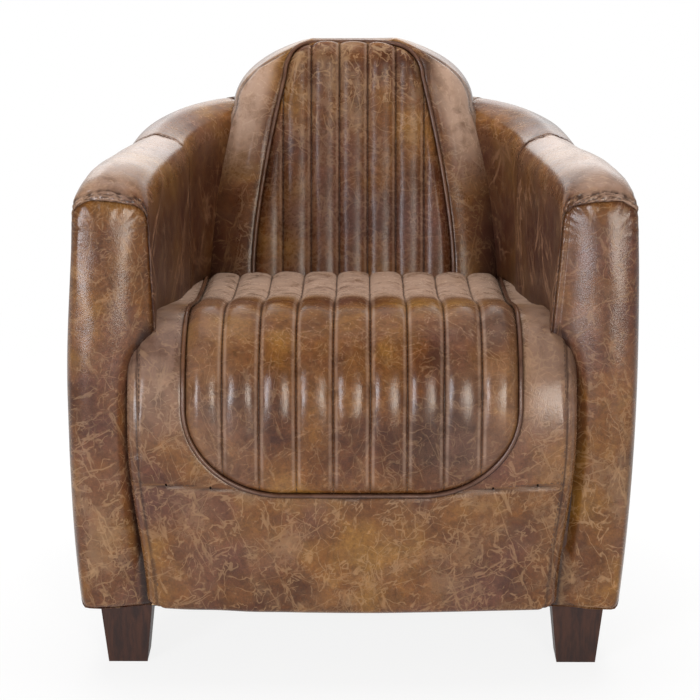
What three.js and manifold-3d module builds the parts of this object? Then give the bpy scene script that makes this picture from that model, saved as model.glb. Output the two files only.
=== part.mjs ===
// A worn barrel-backed club chair: leather over foam on a plywood and hardwood frame.
// Millimetres, +Z up. The sitter faces -Y, and left and right are as seen from the front (left is -X).
// The origin is on the floor, below the middle of the chair.
import * as THREE from 'three';
import { mergeVertices } from 'three/addons/utils/BufferGeometryUtils.js';
import Module from 'manifold-3d';

const wasm = await Module();
wasm.setup();

// Driving dimensions: the tub, which is the wall that makes both arms and the outside back
const TUB_WIDTH = 760;
const TUB_DEPTH = 740;
const STRAIGHT_ARM = 370;
const ARM_TAPER = 37;
const WALL = 104;
const ARM_TOP = 655;
const ARM_CROWN = 19;
const TUB_BACK_TOP = 694;
const RISE_START = 0;
const RISE_END = 720;
const WIDEST_HEIGHT = 420;
const BASE_TUCK = 17;
const TOP_TUCK = 6;
const OUTER_TOP_RADIUS = 24;
const INNER_TOP_RADIUS = 30;
const TOP_OUTER_DROP = 4;
const TOP_INNER_DROP = 9;
const TOP_APEX = 38;
const REAR_SEAM_ANGLE = 130;
const ARM_FRONT_PUFF = 9;
const ARM_FRONT_EDGE = 16;

// Leather, foam and the gaps between pieces
const LEATHER = 1.8;
const GAP = 0.4;
const FOAM_EASE = 1.2;

// The tub's frame inside its foam
const PANEL_PLY = 18;
const PANEL_TOP_FOAM = 42;
const BASE_RAIL_HEIGHT = 40;
const BASE_RAIL_COVER = 7;
const BASE_RAIL_OUTER_FOAM = 26;

// Legs and their bolts
const LEG_HEIGHT = 85;
const LEG_TOP = 70;
const LEG_FOOT = 53;
const LEG_SETBACK = 3;
const REAR_LEG_ANGLE = 128;
const BOLT_RADIUS = 4;
const BOLT_IN_LEG = 45;
const BOLT_IN_RAIL = 28;
const BOLT_HOLE_CLEARANCE = 0.35;

// The seat frame and its webbing
const RAIL_THICKNESS = 26;
const FRONT_RAIL_HEIGHT = 118;
const SIDE_RAIL_DEPTH = 80;
const SIDE_RAIL_INSET = 14;
const CORNER_BLOCK = 46;
const CORNER_BLOCK_HEIGHT = 60;
const WEB_THICKNESS = 2;
const WEB_WIDTH = 50;
const LONG_WEB_COUNT = 6;
const CROSS_WEB_COUNT = 4;
const DUST_COVER = 1;
const DUST_COVER_MARGIN = 6;

// The seat
const SEAT_TOP = 460;
const SEAT_REACH = 55;
const SEAT_SIDE_SETBACK = 86;
const SEAT_FOOT_TUCK = 24;
const SEAT_FOOT_START = 330;
const SEAT_ROLL_DEPTH = 150;
const SEAT_ROLL_HEIGHT = 125;
const SEAT_BACK_DROP = 7;
const SEAT_FACE_TUCK = 6;
const SEAT_TOP_CROWN = 14;
const SEAT_FACE_CROWN = 5;
const SEAT_TOP_EDGE = 55;
const SEAT_FACE_EDGE = 20;
const SEAT_LIP_BOTTOM = 92;
const SEAT_CHANNELS = 9;
const SEAT_CHANNEL_RISE = 9;
const SEAT_SIDE_BAND = 72;
const SEAT_PANEL_BOTTOM = 257;
const SEAT_PANEL_CORNER_WIDTH = 130;
const SEAT_PANEL_CORNER_HEIGHT = 118;
const BORDER_SEAM_HEIGHT = 268;
const PIPING_RADIUS = 3.2;
const PIPING_ROOM = 1;

// The inside back
const BACK_TOP = 790;
const BACK_TO_TUB_REAR = 278;
const BACK_LEAN = 15;
const BACK_FACE_FOAM = 68;
const BACK_REAR_FOAM = 24;
const BACK_BOARD = 15;
const BACK_BOARD_MARGIN = 34;
const BACK_EDGE_ROLL = 46;
const BACK_REAR_ROLL = 26;
const BACK_CHANNELS = 7;
const BACK_CHANNEL_RISE = 8;
const BACK_SIDE_SETBACK = 148;
const BACK_SHOULDER_TUCK = 48;
const BACK_DOME_HEIGHT = 100;
const BACK_DOME_TUCK = 124;
const BACK_TOP_ROUND = 55;
const BACK_TOP_THINNING = 76;
const BACK_WING_BAND = 81;
const BACK_PANEL_TAPER = 49;
const BACK_PANEL_CORNER = 42;

// Places worked out from the sizes
const armFront = -(TUB_DEPTH - SEAT_REACH) / 2;
const tubRear = armFront + TUB_DEPTH;
const barrelStart = armFront + STRAIGHT_ARM;
const barrelA = TUB_WIDTH / 2 - ARM_TAPER;
const barrelB = TUB_DEPTH - STRAIGHT_ARM;
const undercarriage = LEG_HEIGHT + GAP;
const railTop = undercarriage + FRONT_RAIL_HEIGHT;
const webTop = railTop + GAP + WEB_THICKNESS;
const skin = GAP + LEATHER;
const backFaceY = tubRear - BACK_TO_TUB_REAR;
const backPanelReach = BACK_CHANNEL_RISE + GAP;
const backSlope = Math.tan(THREE.MathUtils.degToRad(BACK_LEAN));
const seatFaceY = armFront - SEAT_REACH + SEAT_CHANNEL_RISE + skin;
const mirrored = (angle) => 180 - angle;
const seatHalfWidth = TUB_WIDTH / 2 - SEAT_SIDE_SETBACK;
const seatPanelHalfWidth = seatHalfWidth - SEAT_SIDE_BAND;
const backHalfWidthAtSeat = TUB_WIDTH / 2 - BACK_SIDE_SETBACK;
const backHalfWidthAtShoulder = backHalfWidthAtSeat - BACK_SHOULDER_TUCK;
const backShoulder = BACK_TOP - BACK_DOME_HEIGHT;
const backPanelHalfWidthAtSeat = backHalfWidthAtSeat - BACK_WING_BAND;
const backPanelHalfWidthAtTop = backPanelHalfWidthAtSeat - BACK_PANEL_TAPER;

// Materials, one for each stuff the chair is made of
const stuff = (color, roughness, metalness = 0) => new THREE.MeshStandardMaterial({ color, roughness, metalness });
const leather = () => stuff(0x6b4a35, 0.42);
const darkLeather = () => stuff(0x33201a, 0.45);
const foam = () => stuff(0xd9c98f, 0.95);
const hardwood = () => stuff(0xb58b5a, 0.7);
const plywood = () => stuff(0xc9a877, 0.75);
const stainedWood = () => stuff(0x38241d, 0.4);
const steel = () => stuff(0x9a9a9c, 0.35, 1);
const webbing = () => stuff(0x2b2b2b, 0.9);
const cambric = () => stuff(0x161616, 0.95);

// Geometry helpers

// A closed geometry from vertices and triangles, turned so that its faces point out
function closedGeometry(vertices, triangles) {
  let volume = 0;
  for (const [a, b, c] of triangles) {
    volume += vertices[a].dot(new THREE.Vector3().crossVectors(vertices[b], vertices[c]));
  }
  const index = triangles.flatMap(([a, b, c]) => (volume > 0 ? [a, b, c] : [a, c, b]));
  const geometry = new THREE.BufferGeometry();
  geometry.setAttribute('position', new THREE.Float32BufferAttribute(vertices.flatMap((v) => v.toArray()), 3));
  geometry.setIndex(index);
  geometry.computeVertexNormals();
  return geometry;
}

// A solid between sections that all have as many points. The end caps are cut from the flat outlines.
function loft(sections, flatStart, flatEnd) {
  const size = sections[0].length;
  const triangles = [];
  for (let i = 0; i + 1 < sections.length; i++) {
    for (let j = 0; j < size; j++) {
      const a = i * size + j;
      const b = i * size + ((j + 1) % size);
      triangles.push([a, b, a + size], [b, b + size, a + size]);
    }
  }
  const last = (sections.length - 1) * size;
  for (const [a, b, c] of capTriangles(flatStart)) triangles.push([c, b, a]);
  for (const [a, b, c] of capTriangles(flatEnd)) triangles.push([last + a, last + b, last + c]);
  return closedGeometry(sections.flat(), triangles);
}

// The triangles of a flat outline, in the outline's own turning direction. Points along a straight edge are kept.
function capTriangles(outline) {
  const turn = Math.sign(THREE.ShapeUtils.area(outline));
  const area = (a, b, c) => turn * THREE.ShapeUtils.area([outline[a], outline[b], outline[c]]);
  const holds = (a, b, c, p) => area(a, b, p) >= 0 && area(b, c, p) >= 0 && area(c, a, p) >= 0;
  const left = outline.map((_, i) => i);
  const triangles = [];
  while (left.length > 3) {
    const ear = left.findIndex((b, i) => {
      const a = left.at(i - 1);
      const c = left[(i + 1) % left.length];
      return area(a, b, c) > 1e-6 && !left.some((p) => p !== a && p !== b && p !== c && holds(a, b, c, p));
    });
    if (ear < 0) throw new Error('an outline crosses itself');
    triangles.push([left.at(ear - 1), left[ear], left[(ear + 1) % left.length]]);
    left.splice(ear, 1);
  }
  return [...triangles, left];
}

// A closed slab between an outer and an inner surface, both sampled at the same rows and columns
function slab(rows, columns, outer, inner) {
  const vertices = [];
  for (const surface of [outer, inner]) {
    for (let i = 0; i <= rows; i++) {
      for (let j = 0; j <= columns; j++) vertices.push(surface(i, j));
    }
  }
  const layer = (rows + 1) * (columns + 1);
  const at = (i, j) => i * (columns + 1) + j;
  const triangles = [];
  const quad = (a, b, c, d) => triangles.push([a, b, c], [a, c, d]);
  for (let i = 0; i < rows; i++) {
    for (let j = 0; j < columns; j++) {
      quad(at(i, j), at(i, j + 1), at(i + 1, j + 1), at(i + 1, j));
      quad(layer + at(i, j), layer + at(i + 1, j), layer + at(i + 1, j + 1), layer + at(i, j + 1));
    }
  }
  for (let j = 0; j < columns; j++) {
    quad(at(0, j + 1), at(0, j), layer + at(0, j), layer + at(0, j + 1));
    quad(at(rows, j), at(rows, j + 1), layer + at(rows, j + 1), layer + at(rows, j));
  }
  for (let i = 0; i < rows; i++) {
    quad(at(i, 0), at(i + 1, 0), layer + at(i + 1, 0), layer + at(i, 0));
    quad(at(i + 1, columns), at(i, columns), layer + at(i, columns), layer + at(i + 1, columns));
  }
  return closedGeometry(vertices, triangles);
}

// Evenly spread numbers from a to b
const spread = (a, b, steps) => Array.from({ length: steps + 1 }, (_, i) => a + ((b - a) * i) / steps);

function toSolid(geometry) {
  const bare = geometry.clone();
  bare.deleteAttribute('normal');
  bare.deleteAttribute('uv');
  const merged = mergeVertices(bare, 1e-4);
  const vertProperties = new Float32Array(merged.attributes.position.array);
  const triVerts = new Uint32Array(merged.index.array);
  return new wasm.Manifold(new wasm.Mesh({ numProp: 3, vertProperties, triVerts }));
}

function toGeometry(solid) {
  const mesh = solid.getMesh();
  const geometry = new THREE.BufferGeometry();
  geometry.setAttribute('position', new THREE.Float32BufferAttribute(mesh.vertProperties, 3));
  geometry.setIndex([...mesh.triVerts]);
  geometry.computeVertexNormals();
  return geometry;
}

function piece(name, geometry, material, parent) {
  const mesh = new THREE.Mesh(geometry, material);
  mesh.name = name;
  parent.add(mesh);
  return mesh;
}

// A block given by its lowest and highest corners
function block(low, high) {
  const size = high.map((v, i) => v - low[i]);
  const middle = high.map((v, i) => (v + low[i]) / 2);
  return new THREE.BoxGeometry(...size).translate(...middle);
}

// A flat outline in X and Z, pushed along Y from one depth to another
function prismAlongY(outline, fromY, toY) {
  const shape = new THREE.Shape(outline);
  const geometry = new THREE.ExtrudeGeometry(shape, { depth: toY - fromY, bevelEnabled: false });
  return geometry.rotateX(Math.PI / 2).translate(0, toY, 0);
}

// A round cord along a line of points
function cordGeometry(points, radius, steps) {
  const sides = 8;
  const around = spread(0, 2 * Math.PI, sides).slice(0, sides);
  const ring = new THREE.Shape(around.map((a) => new THREE.Vector2(radius * Math.cos(a), radius * Math.sin(a))));
  const path = new THREE.CatmullRomCurve3(points);
  return new THREE.ExtrudeGeometry(ring, { extrudePath: path, steps, bevelEnabled: false });
}

const smooth = (value, start, end) => THREE.MathUtils.smoothstep(value, start, end);

// The tub's plan: straight arms, then half an ellipse round the back

// A place on the outside of the tub, with the direction that points into the wall
function armStation(y) {
  const x = -TUB_WIDTH / 2 + (ARM_TAPER * (y - armFront)) / STRAIGHT_ARM;
  return { x, y, inward: new THREE.Vector2(1, 0) };
}

function barrelStation(angle) {
  const a = THREE.MathUtils.degToRad(angle);
  const inward = new THREE.Vector2(-barrelB * Math.cos(a), -barrelA * Math.sin(a)).normalize();
  return { x: barrelA * Math.cos(a), y: barrelStart + barrelB * Math.sin(a), inward };
}

const mirrorStation = ({ x, y, inward }) => ({ x: -x, y, inward: new THREE.Vector2(-inward.x, inward.y) });

// How high the wall stands at a station, which rises from the arms to the back
const wallTop = (y) =>
  ARM_TOP + (TUB_BACK_TOP - ARM_TOP) * smooth(y, armFront + RISE_START, armFront + RISE_END) + armCrown(y);

// The padded arm's top swells between its front and the shoulder seam, most of all at a third of its length
function armCrown(y) {
  const t = THREE.MathUtils.clamp((y - armFront) / STRAIGHT_ARM, 0, 1);
  const swell = (at) => at ** 0.75 * (1 - at) ** 1.5;
  return (ARM_CROWN * swell(t)) / swell(1 / 3);
}

// How far the wall's outside lies in from its widest line
function outerTuck(z, top) {
  const below = (WIDEST_HEIGHT - z) / (WIDEST_HEIGHT - undercarriage);
  const above = (z - WIDEST_HEIGHT) / (top - WIDEST_HEIGHT);
  return z < WIDEST_HEIGHT ? BASE_TUCK * below * below : TOP_TUCK * above * above;
}

// The wall's section as [depth into the wall, height], from the outer base over the top to the inner base.
// inset shrinks it evenly, and a negative inset grows it.
function wallOutline(top, inset, base = undercarriage) {
  const outerTurn = top - TOP_OUTER_DROP - OUTER_TOP_RADIUS;
  const innerTurn = top - TOP_INNER_DROP - INNER_TOP_RADIUS;
  const outerFlat = outerTuck(outerTurn, top);
  const points = spread(base, outerTurn, 5).map((z) => [outerTuck(Math.max(z, undercarriage), top) + inset, z]);
  for (const a of spread(Math.PI, Math.PI / 2, 4).slice(1)) {
    const reach = OUTER_TOP_RADIUS - inset;
    points.push([outerFlat + OUTER_TOP_RADIUS + reach * Math.cos(a), outerTurn + reach * Math.sin(a)]);
  }
  points.push([TOP_APEX, top - inset]);
  for (const a of spread(Math.PI / 2, 0, 4)) {
    const reach = INNER_TOP_RADIUS - inset;
    points.push([WALL - INNER_TOP_RADIUS + reach * Math.cos(a), innerTurn + reach * Math.sin(a)]);
  }
  points.push([WALL - inset, (innerTurn + base) / 2], [WALL - inset, base]);
  return points;
}

// Sweeps a section of the wall along stations. The section may change with the wall's height.
function sweepWall(stations, section) {
  const flats = stations.map(({ y }) => section(wallTop(y)).map(([n, z]) => new THREE.Vector2(n, z)));
  const rings = stations.map(({ x, y, inward }, i) =>
    flats[i].map((p) => new THREE.Vector3(x + inward.x * p.x, y + inward.y * p.x, p.y)),
  );
  return loft(rings, flats[0], flats.at(-1));
}

// Stations along the left arm, up to the shoulder seam. All that lies in the arm shares them.
function armStations(fromY) {
  const end = barrelStart - GAP / 2;
  const rearward = spread(armFront + LEG_SETBACK, end, 6);
  return [armFront, ...rearward].filter((y) => y >= fromY).map(armStation);
}

// Stations round the back, from one angle to another, each end short of its seam
const stationStep = 10;

function backStations(from = 180, to = 0) {
  const margin = THREE.MathUtils.radToDeg(GAP / 2 / barrelB);
  const angles = spread(from, to, (from - to) / stationStep);
  angles[0] -= margin;
  angles[angles.length - 1] += margin;
  return angles.map(barrelStation);
}

// The leather over a stretch of wall, open below
function wallCover(stations) {
  const section = (top) => [...wallOutline(top, 0), ...wallOutline(top, LEATHER).reverse()];
  return sweepWall(stations, section);
}

const panelOuter = (WALL - PANEL_PLY) / 2;
const panelInner = (WALL + PANEL_PLY) / 2;
const baseRailInner = WALL - BASE_RAIL_COVER;
const baseRailTop = undercarriage + BASE_RAIL_HEIGHT;

// The foam over a stretch of wall, with the space for its base rail and plywood panel
function wallFoam(stations) {
  const section = (top) => {
    const panelTop = top - PANEL_TOP_FOAM + GAP;
    const slot = [
      [baseRailInner + GAP, undercarriage],
      [baseRailInner + GAP, baseRailTop + GAP],
      [panelInner + GAP, baseRailTop + GAP],
      [panelInner + GAP, panelTop],
      [panelOuter - GAP, panelTop],
      [panelOuter - GAP, baseRailTop + GAP],
      [BASE_RAIL_OUTER_FOAM - GAP, baseRailTop + GAP],
      [BASE_RAIL_OUTER_FOAM - GAP, undercarriage],
    ];
    return [...wallOutline(top, skin), ...slot];
  };
  return sweepWall(stations, section);
}

const wallPanel = (stations) =>
  sweepWall(stations, (top) => [
    [panelOuter, baseRailTop + GAP],
    [panelOuter, top - PANEL_TOP_FOAM],
    [panelInner, top - PANEL_TOP_FOAM],
    [panelInner, baseRailTop + GAP],
  ]);

const wallBaseRail = (stations) =>
  sweepWall(stations, () => [
    [BASE_RAIL_OUTER_FOAM, undercarriage],
    [BASE_RAIL_OUTER_FOAM, baseRailTop],
    [baseRailInner, baseRailTop],
    [baseRailInner, undercarriage],
  ]);

// Builds one piece for the left arm and its mirror for the right
function addPair(name, parent, material, make, stations) {
  piece(`${name}_left`, make(stations), material(), parent);
  piece(`${name}_right`, make(stations.map(mirrorStation).reverse()), material(), parent);
}

// The padded leather that closes the front end of an arm
function armFrontPanel(side) {
  const rings = [
    [0, GAP],
    [0, ARM_FRONT_PUFF * 0.3],
    [ARM_FRONT_EDGE * 0.4, ARM_FRONT_PUFF * 0.75],
    [ARM_FRONT_EDGE, ARM_FRONT_PUFF],
  ];
  const outlines = rings.map(([inset]) => wallOutline(ARM_TOP, inset, undercarriage + inset * 0.25));
  const flats = outlines.map((outline) => outline.map(([n, z]) => new THREE.Vector2(n, z)));
  const sections = rings.map(([, reach], i) =>
    flats[i].map((p) => new THREE.Vector3(side * (TUB_WIDTH / 2 - p.x), armFront - reach, p.y)),
  );
  return loft(sections, flats[0], flats.at(-1));
}

// The whole tub as one solid, grown by a clearance: what lies between the arms is cut by it
function grownTub(clearance) {
  const left = [armStation(armFront - ARM_FRONT_PUFF - clearance), ...armStations(armFront).slice(0, -1)];
  const stations = [...left, ...backStations(), ...left.map(mirrorStation).reverse()];
  return toSolid(sweepWall(stations, (top) => wallOutline(top, -clearance, undercarriage - SEAT_ROLL_HEIGHT)));
}

// Legs and bolts

const legDepthPlace = armFront + LEG_SETBACK + LEG_TOP / 2;
const legWallPlace = baseRailInner + BASE_RAIL_COVER - LEG_TOP / 2;

function legPlaces() {
  const rear = barrelStation(REAR_LEG_ANGLE);
  const rearX = rear.x + (rear.inward.x * WALL) / 2;
  const rearY = rear.y + (rear.inward.y * WALL) / 2;
  const frontX = armStation(legDepthPlace).x + legWallPlace;
  return {
    front_left: [frontX, legDepthPlace],
    front_right: [-frontX, legDepthPlace],
    rear_left: [rearX, rearY],
    rear_right: [-rearX, rearY],
  };
}

const boltCylinder = (radius, length) => new THREE.CylinderGeometry(radius, radius, length, 12).rotateX(Math.PI / 2);

// A square leg that tapers to its foot, with the hole for its bolt
function legGeometry() {
  const half = (width) => (width / 2) * Math.SQRT2;
  const taper = new THREE.CylinderGeometry(half(LEG_TOP), half(LEG_FOOT), LEG_HEIGHT, 4);
  taper.rotateY(Math.PI / 4).rotateX(Math.PI / 2).translate(0, 0, LEG_HEIGHT / 2);
  const hole = boltCylinder(BOLT_RADIUS + BOLT_HOLE_CLEARANCE, 2 * (BOLT_IN_LEG + GAP)).translate(0, 0, LEG_HEIGHT);
  return toGeometry(toSolid(taper).subtract(toSolid(hole)));
}

// The holes that the leg bolts need in the base rails above them
function boltHoles() {
  const depth = BOLT_IN_RAIL + GAP;
  return Object.values(legPlaces()).map(([x, y]) =>
    toSolid(boltCylinder(BOLT_RADIUS + BOLT_HOLE_CLEARANCE, 2 * depth).translate(x, y, undercarriage)),
  );
}

function drilled(geometry) {
  const solid = boltHoles().reduce((rail, hole) => rail.subtract(hole), toSolid(geometry));
  return toGeometry(solid);
}

function addLegs(chair) {
  const legs = new THREE.Group();
  chair.add(legs);
  for (const [place, [x, y]] of Object.entries(legPlaces())) {
    piece(`leg_${place}`, legGeometry(), stainedWood(), legs).position.set(x, y, 0);
    const bolt = piece(`leg_bolt_${place}`, boltCylinder(BOLT_RADIUS, BOLT_IN_LEG + BOLT_IN_RAIL), steel(), legs);
    bolt.position.set(x, y, LEG_HEIGHT - BOLT_IN_LEG + (BOLT_IN_LEG + BOLT_IN_RAIL) / 2);
  }
}

function addTub(chair) {
  const tub = new THREE.Group();
  chair.add(tub);
  const covered = armStations(armFront);
  const inside = armStations(armFront + LEG_SETBACK);
  const back = backStations();
  addPair('arm_base_rail', tub, hardwood, (stations) => drilled(wallBaseRail(stations)), inside);
  addPair('arm_panel', tub, plywood, wallPanel, inside);
  addPair('arm_foam', tub, foam, wallFoam, covered);
  addPair('arm_cover', tub, leather, wallCover, covered);
  piece('tub_back_base_rail', drilled(wallBaseRail(back)), hardwood(), tub);
  piece('tub_back_panel', wallPanel(back), plywood(), tub);
  piece('tub_back_foam', wallFoam(back), foam(), tub);
  addPair('wing_cover', tub, leather, wallCover, backStations(180, REAR_SEAM_ANGLE));
  piece('outside_back_cover', wallCover(backStations(REAR_SEAM_ANGLE, mirrored(REAR_SEAM_ANGLE))), leather(), tub);
  piece('arm_front_left', armFrontPanel(-1), leather(), tub);
  piece('arm_front_right', armFrontPanel(1), leather(), tub);
}

// The seat frame

// Half the width between the arms' leather at a depth, at seat height
function innerHalfWidth(y) {
  if (y <= barrelStart) return -armStation(y).x - WALL;
  let [low, high] = [90, 180];
  for (let i = 0; i < 40; i++) {
    const middle = (low + high) / 2;
    const { y: outerY, inward } = barrelStation(middle);
    if (outerY + inward.y * WALL > y) low = middle;
    else high = middle;
  }
  const { x, inward } = barrelStation((low + high) / 2);
  return -(x + inward.x * WALL);
}

const backFace = (z) => backFaceY + (z - SEAT_TOP) * backSlope;
const backPadBottom = webTop + GAP;
const boardFront = (z) => backFace(z) + BACK_FACE_FOAM / Math.cos(THREE.MathUtils.degToRad(BACK_LEAN));
const frontRailY = [armFront + LEG_SETBACK, armFront + LEG_SETBACK + RAIL_THICKNESS];
const rearRailY = [boardFront(railTop) - RAIL_THICKNESS / 2, boardFront(railTop) + RAIL_THICKNESS / 2];
const frontRailHalf = innerHalfWidth(frontRailY[1]) - GAP;
const rearRailHalf = innerHalfWidth(rearRailY[1]) - SIDE_RAIL_INSET / 2;
const sideRailOuter = rearRailHalf - SIDE_RAIL_INSET / 2;
const sideRailY = [frontRailY[1] + GAP, rearRailY[0] - GAP];
const sideRailTop = railTop - WEB_THICKNESS - GAP;

function cornerBlock(sideX, towardsRear) {
  const x = sideX * (sideRailOuter - RAIL_THICKNESS - GAP);
  const y = towardsRear ? sideRailY[1] : sideRailY[0];
  const inX = -sideX * CORNER_BLOCK;
  const inY = towardsRear ? -CORNER_BLOCK : CORNER_BLOCK;
  const shape = new THREE.Shape([[x, y], [x + inX, y], [x, y + inY]].map((p) => new THREE.Vector2(...p)));
  const geometry = new THREE.ExtrudeGeometry(shape, { depth: CORNER_BLOCK_HEIGHT, bevelEnabled: false });
  return geometry.translate(0, 0, sideRailTop - GAP - CORNER_BLOCK_HEIGHT - WEB_THICKNESS);
}

function addSeatFrame(chair) {
  const frame = new THREE.Group();
  chair.add(frame);
  const [frontLow, frontHigh] = frontRailY;
  const [rearLow, rearHigh] = rearRailY;
  const rail = (low, high) => block(low, high);
  const railBottom = undercarriage;
  const sideBottom = sideRailTop - SIDE_RAIL_DEPTH;
  piece('front_rail', rail([-frontRailHalf, frontLow, railBottom], [frontRailHalf, frontHigh, railTop]), hardwood(), frame);
  piece('rear_rail', rail([-rearRailHalf, rearLow, railBottom], [rearRailHalf, rearHigh, railTop]), hardwood(), frame);
  for (const [name, side] of [['left', -1], ['right', 1]]) {
    const inner = sideRailOuter - RAIL_THICKNESS;
    const [lowX, highX] = [side * sideRailOuter, side * inner].sort((a, b) => a - b);
    const geometry = block([lowX, sideRailY[0], sideBottom], [highX, sideRailY[1], sideRailTop]);
    piece(`side_rail_${name}`, geometry, hardwood(), frame);
    piece(`corner_block_front_${name}`, cornerBlock(side, false), hardwood(), frame);
    piece(`corner_block_rear_${name}`, cornerBlock(side, true), hardwood(), frame);
  }
  const longWeb = block([-WEB_WIDTH / 2, frontLow, railTop + GAP], [WEB_WIDTH / 2, rearHigh, webTop]);
  const longReach = rearRailHalf - WEB_WIDTH / 2;
  spread(-longReach, longReach, LONG_WEB_COUNT - 1).forEach((x, i) => {
    piece(`long_web_${i + 1}`, longWeb.clone(), webbing(), frame).position.x = x;
  });
  const crossWeb = block([-sideRailOuter, -WEB_WIDTH / 2, sideRailTop + GAP], [sideRailOuter, WEB_WIDTH / 2, railTop]);
  const crossMargin = (sideRailY[1] - sideRailY[0]) / (2 * CROSS_WEB_COUNT);
  spread(sideRailY[0] + crossMargin, sideRailY[1] - crossMargin, CROSS_WEB_COUNT - 1).forEach((y, i) => {
    piece(`cross_web_${i + 1}`, crossWeb.clone(), webbing(), frame).position.y = y;
  });
  piece('dust_cover', dustCover(), cambric(), frame);
}

// The thin black cloth that closes the underside, inside the legs
function dustCover() {
  const inner = (station) => {
    const reach = WALL + DUST_COVER_MARGIN;
    return new THREE.Vector2(station.x + station.inward.x * reach, station.y + station.inward.y * reach);
  };
  const rearward = spread(180, 90, 8).map(barrelStation);
  const left = [armStation(armFront + LEG_SETBACK), ...rearward].map(inner);
  const right = left.slice(0, -1).map((p) => new THREE.Vector2(-p.x, p.y)).reverse();
  const shape = new THREE.Shape([...left, ...right]);
  const geometry = new THREE.ExtrudeGeometry(shape, { depth: DUST_COVER, bevelEnabled: false });
  return geometry.translate(0, 0, LEG_HEIGHT - DUST_COVER);
}

// The seat: foam with a rolled front edge, under a channelled panel, two side panels and a front border

// The foam's surface from the back to the bottom of the front, as [y, z, normal y, normal z, follow].
// follow is how far a row moves forward with the leaning back as it gets lower.
function seatProfile() {
  const rollY = seatFaceY + SEAT_ROLL_DEPTH;
  const rollZ = SEAT_TOP - SEAT_CHANNEL_RISE - skin - SEAT_ROLL_HEIGHT;
  const top = rollZ + SEAT_ROLL_HEIGHT;
  const backY = backFace(top - SEAT_BACK_DROP) - backPanelReach - skin - GAP;
  const points = spread(0, 1, 4).slice(0, -1).map((t) => {
    return [backY + (rollY - backY) * t, top - SEAT_BACK_DROP * (1 - t) * (1 - t), 0, 1, 1 - t];
  });
  for (const angle of spread(90, 180, 9)) {
    const a = THREE.MathUtils.degToRad(angle);
    const normal = new THREE.Vector2(Math.cos(a) / SEAT_ROLL_DEPTH, Math.sin(a) / SEAT_ROLL_HEIGHT).normalize();
    points.push([rollY + SEAT_ROLL_DEPTH * Math.cos(a), rollZ + SEAT_ROLL_HEIGHT * Math.sin(a), normal.x, normal.y, 0]);
  }
  for (const t of spread(0, 1, 4).slice(1)) {
    points.push([seatFaceY + SEAT_FACE_TUCK * t * t, rollZ + (SEAT_LIP_BOTTOM - rollZ) * t, -1, 0, 0]);
  }
  return points;
}

const seatRows = seatProfile();

// Half the seat's width and the radius of its side edge, at a row of the profile
function seatEdge([, z, , normalZ]) {
  const foot = 1 - smooth(z, SEAT_LIP_BOTTOM, SEAT_FOOT_START);
  const half = seatHalfWidth - SEAT_FOOT_TUCK * foot;
  const radius = SEAT_FACE_EDGE + (SEAT_TOP_EDGE - SEAT_FACE_EDGE) * Math.max(0, normalZ);
  return { half, radius };
}

// A point of the seat's surface. across runs from -1 to 1: flat to flatShare, and rolled down beyond it.
const flatShare = 0.8;

function seatPoint(row, across, height) {
  const [y, z, normalY, normalZ, follow] = row;
  const { half, radius } = seatEdge(row);
  const side = Math.sign(across);
  const flat = half - radius;
  const turn = Math.max(0, (Math.abs(across) - flatShare) / (1 - flatShare)) * (Math.PI / 2);
  const run = Math.min(1, Math.abs(across) / flatShare) * flat;
  const x = side * (run + (radius + height) * Math.sin(turn));
  const bow = SEAT_FACE_CROWN + (SEAT_TOP_CROWN - SEAT_FACE_CROWN) * Math.max(0, normalZ);
  const crown = bow * (run / flat) ** 2;
  const drop = crown + radius - (radius + height) * Math.cos(turn);
  return new THREE.Vector3(x, y - normalY * drop - follow * backSlope * drop, z - normalZ * drop);
}

const seatColumns = [...spread(-1, -flatShare, 4), ...spread(-flatShare, flatShare, 8).slice(1, -1), ...spread(flatShare, 1, 4)];

// The seat's foam before the arms are cut out of it
function seatBody(height) {
  const rowsUp = seatRows;
  const sections = seatColumns.map((across) => {
    const surface = rowsUp.map((row) => seatPoint(row, across, height));
    const x = surface[0].x;
    const [firstY, firstZ] = [surface[0].y, surface[0].z];
    const rearBottom = new THREE.Vector3(x, firstY - (firstZ - backPadBottom) * backSlope, backPadBottom);
    const behindRail = new THREE.Vector3(x, frontRailY[0] - GAP, backPadBottom);
    const lip = new THREE.Vector3(x, frontRailY[0] - GAP, SEAT_LIP_BOTTOM);
    return [...surface, lip, behindRail, rearBottom];
  });
  const flat = (section) => section.map((p) => new THREE.Vector2(p.y, p.z));
  return loft(sections, flat(sections[0]), flat(sections.at(-1)));
}

// The outline of the channelled seat panel in X and Z, grown by a margin
function seatPanelOutline(margin) {
  const half = seatPanelHalfWidth + margin;
  const cornerX = seatPanelHalfWidth - SEAT_PANEL_CORNER_WIDTH;
  const cornerZ = SEAT_PANEL_BOTTOM + SEAT_PANEL_CORNER_HEIGHT;
  const corner = spread(0, Math.PI / 2, 10).map((a) => [
    cornerX + (half - cornerX) * Math.cos(a),
    cornerZ - (SEAT_PANEL_CORNER_HEIGHT + margin) * Math.sin(a),
  ]);
  const right = [[half, BACK_TOP], ...corner];
  const left = right.map(([x, z]) => [-x, z]).reverse();
  return [...right, ...left].map((p) => new THREE.Vector2(...p));
}

const pipingRoom = PIPING_RADIUS + PIPING_ROOM;
const seatCutDepth = [seatFaceY - SEAT_REACH, tubRear];

// A row of rounded channels across a panel: the height above its base at a place from 0 to 1
const channelRise = (place, channels, rise) => {
  const inChannel = (place * channels) % 1;
  return rise * Math.sqrt(Math.max(0, 1 - (2 * inChannel - 1) ** 2));
};

// Places across a channelled panel: every seam and four places over each channel
const channelPlaces = (channels) => {
  const over = [0, 0.08, 0.3, 0.7, 0.92];
  const places = Array.from({ length: channels }, (_, c) => over.map((f) => (c + f) / channels)).flat();
  return [...places, 1];
};

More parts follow.
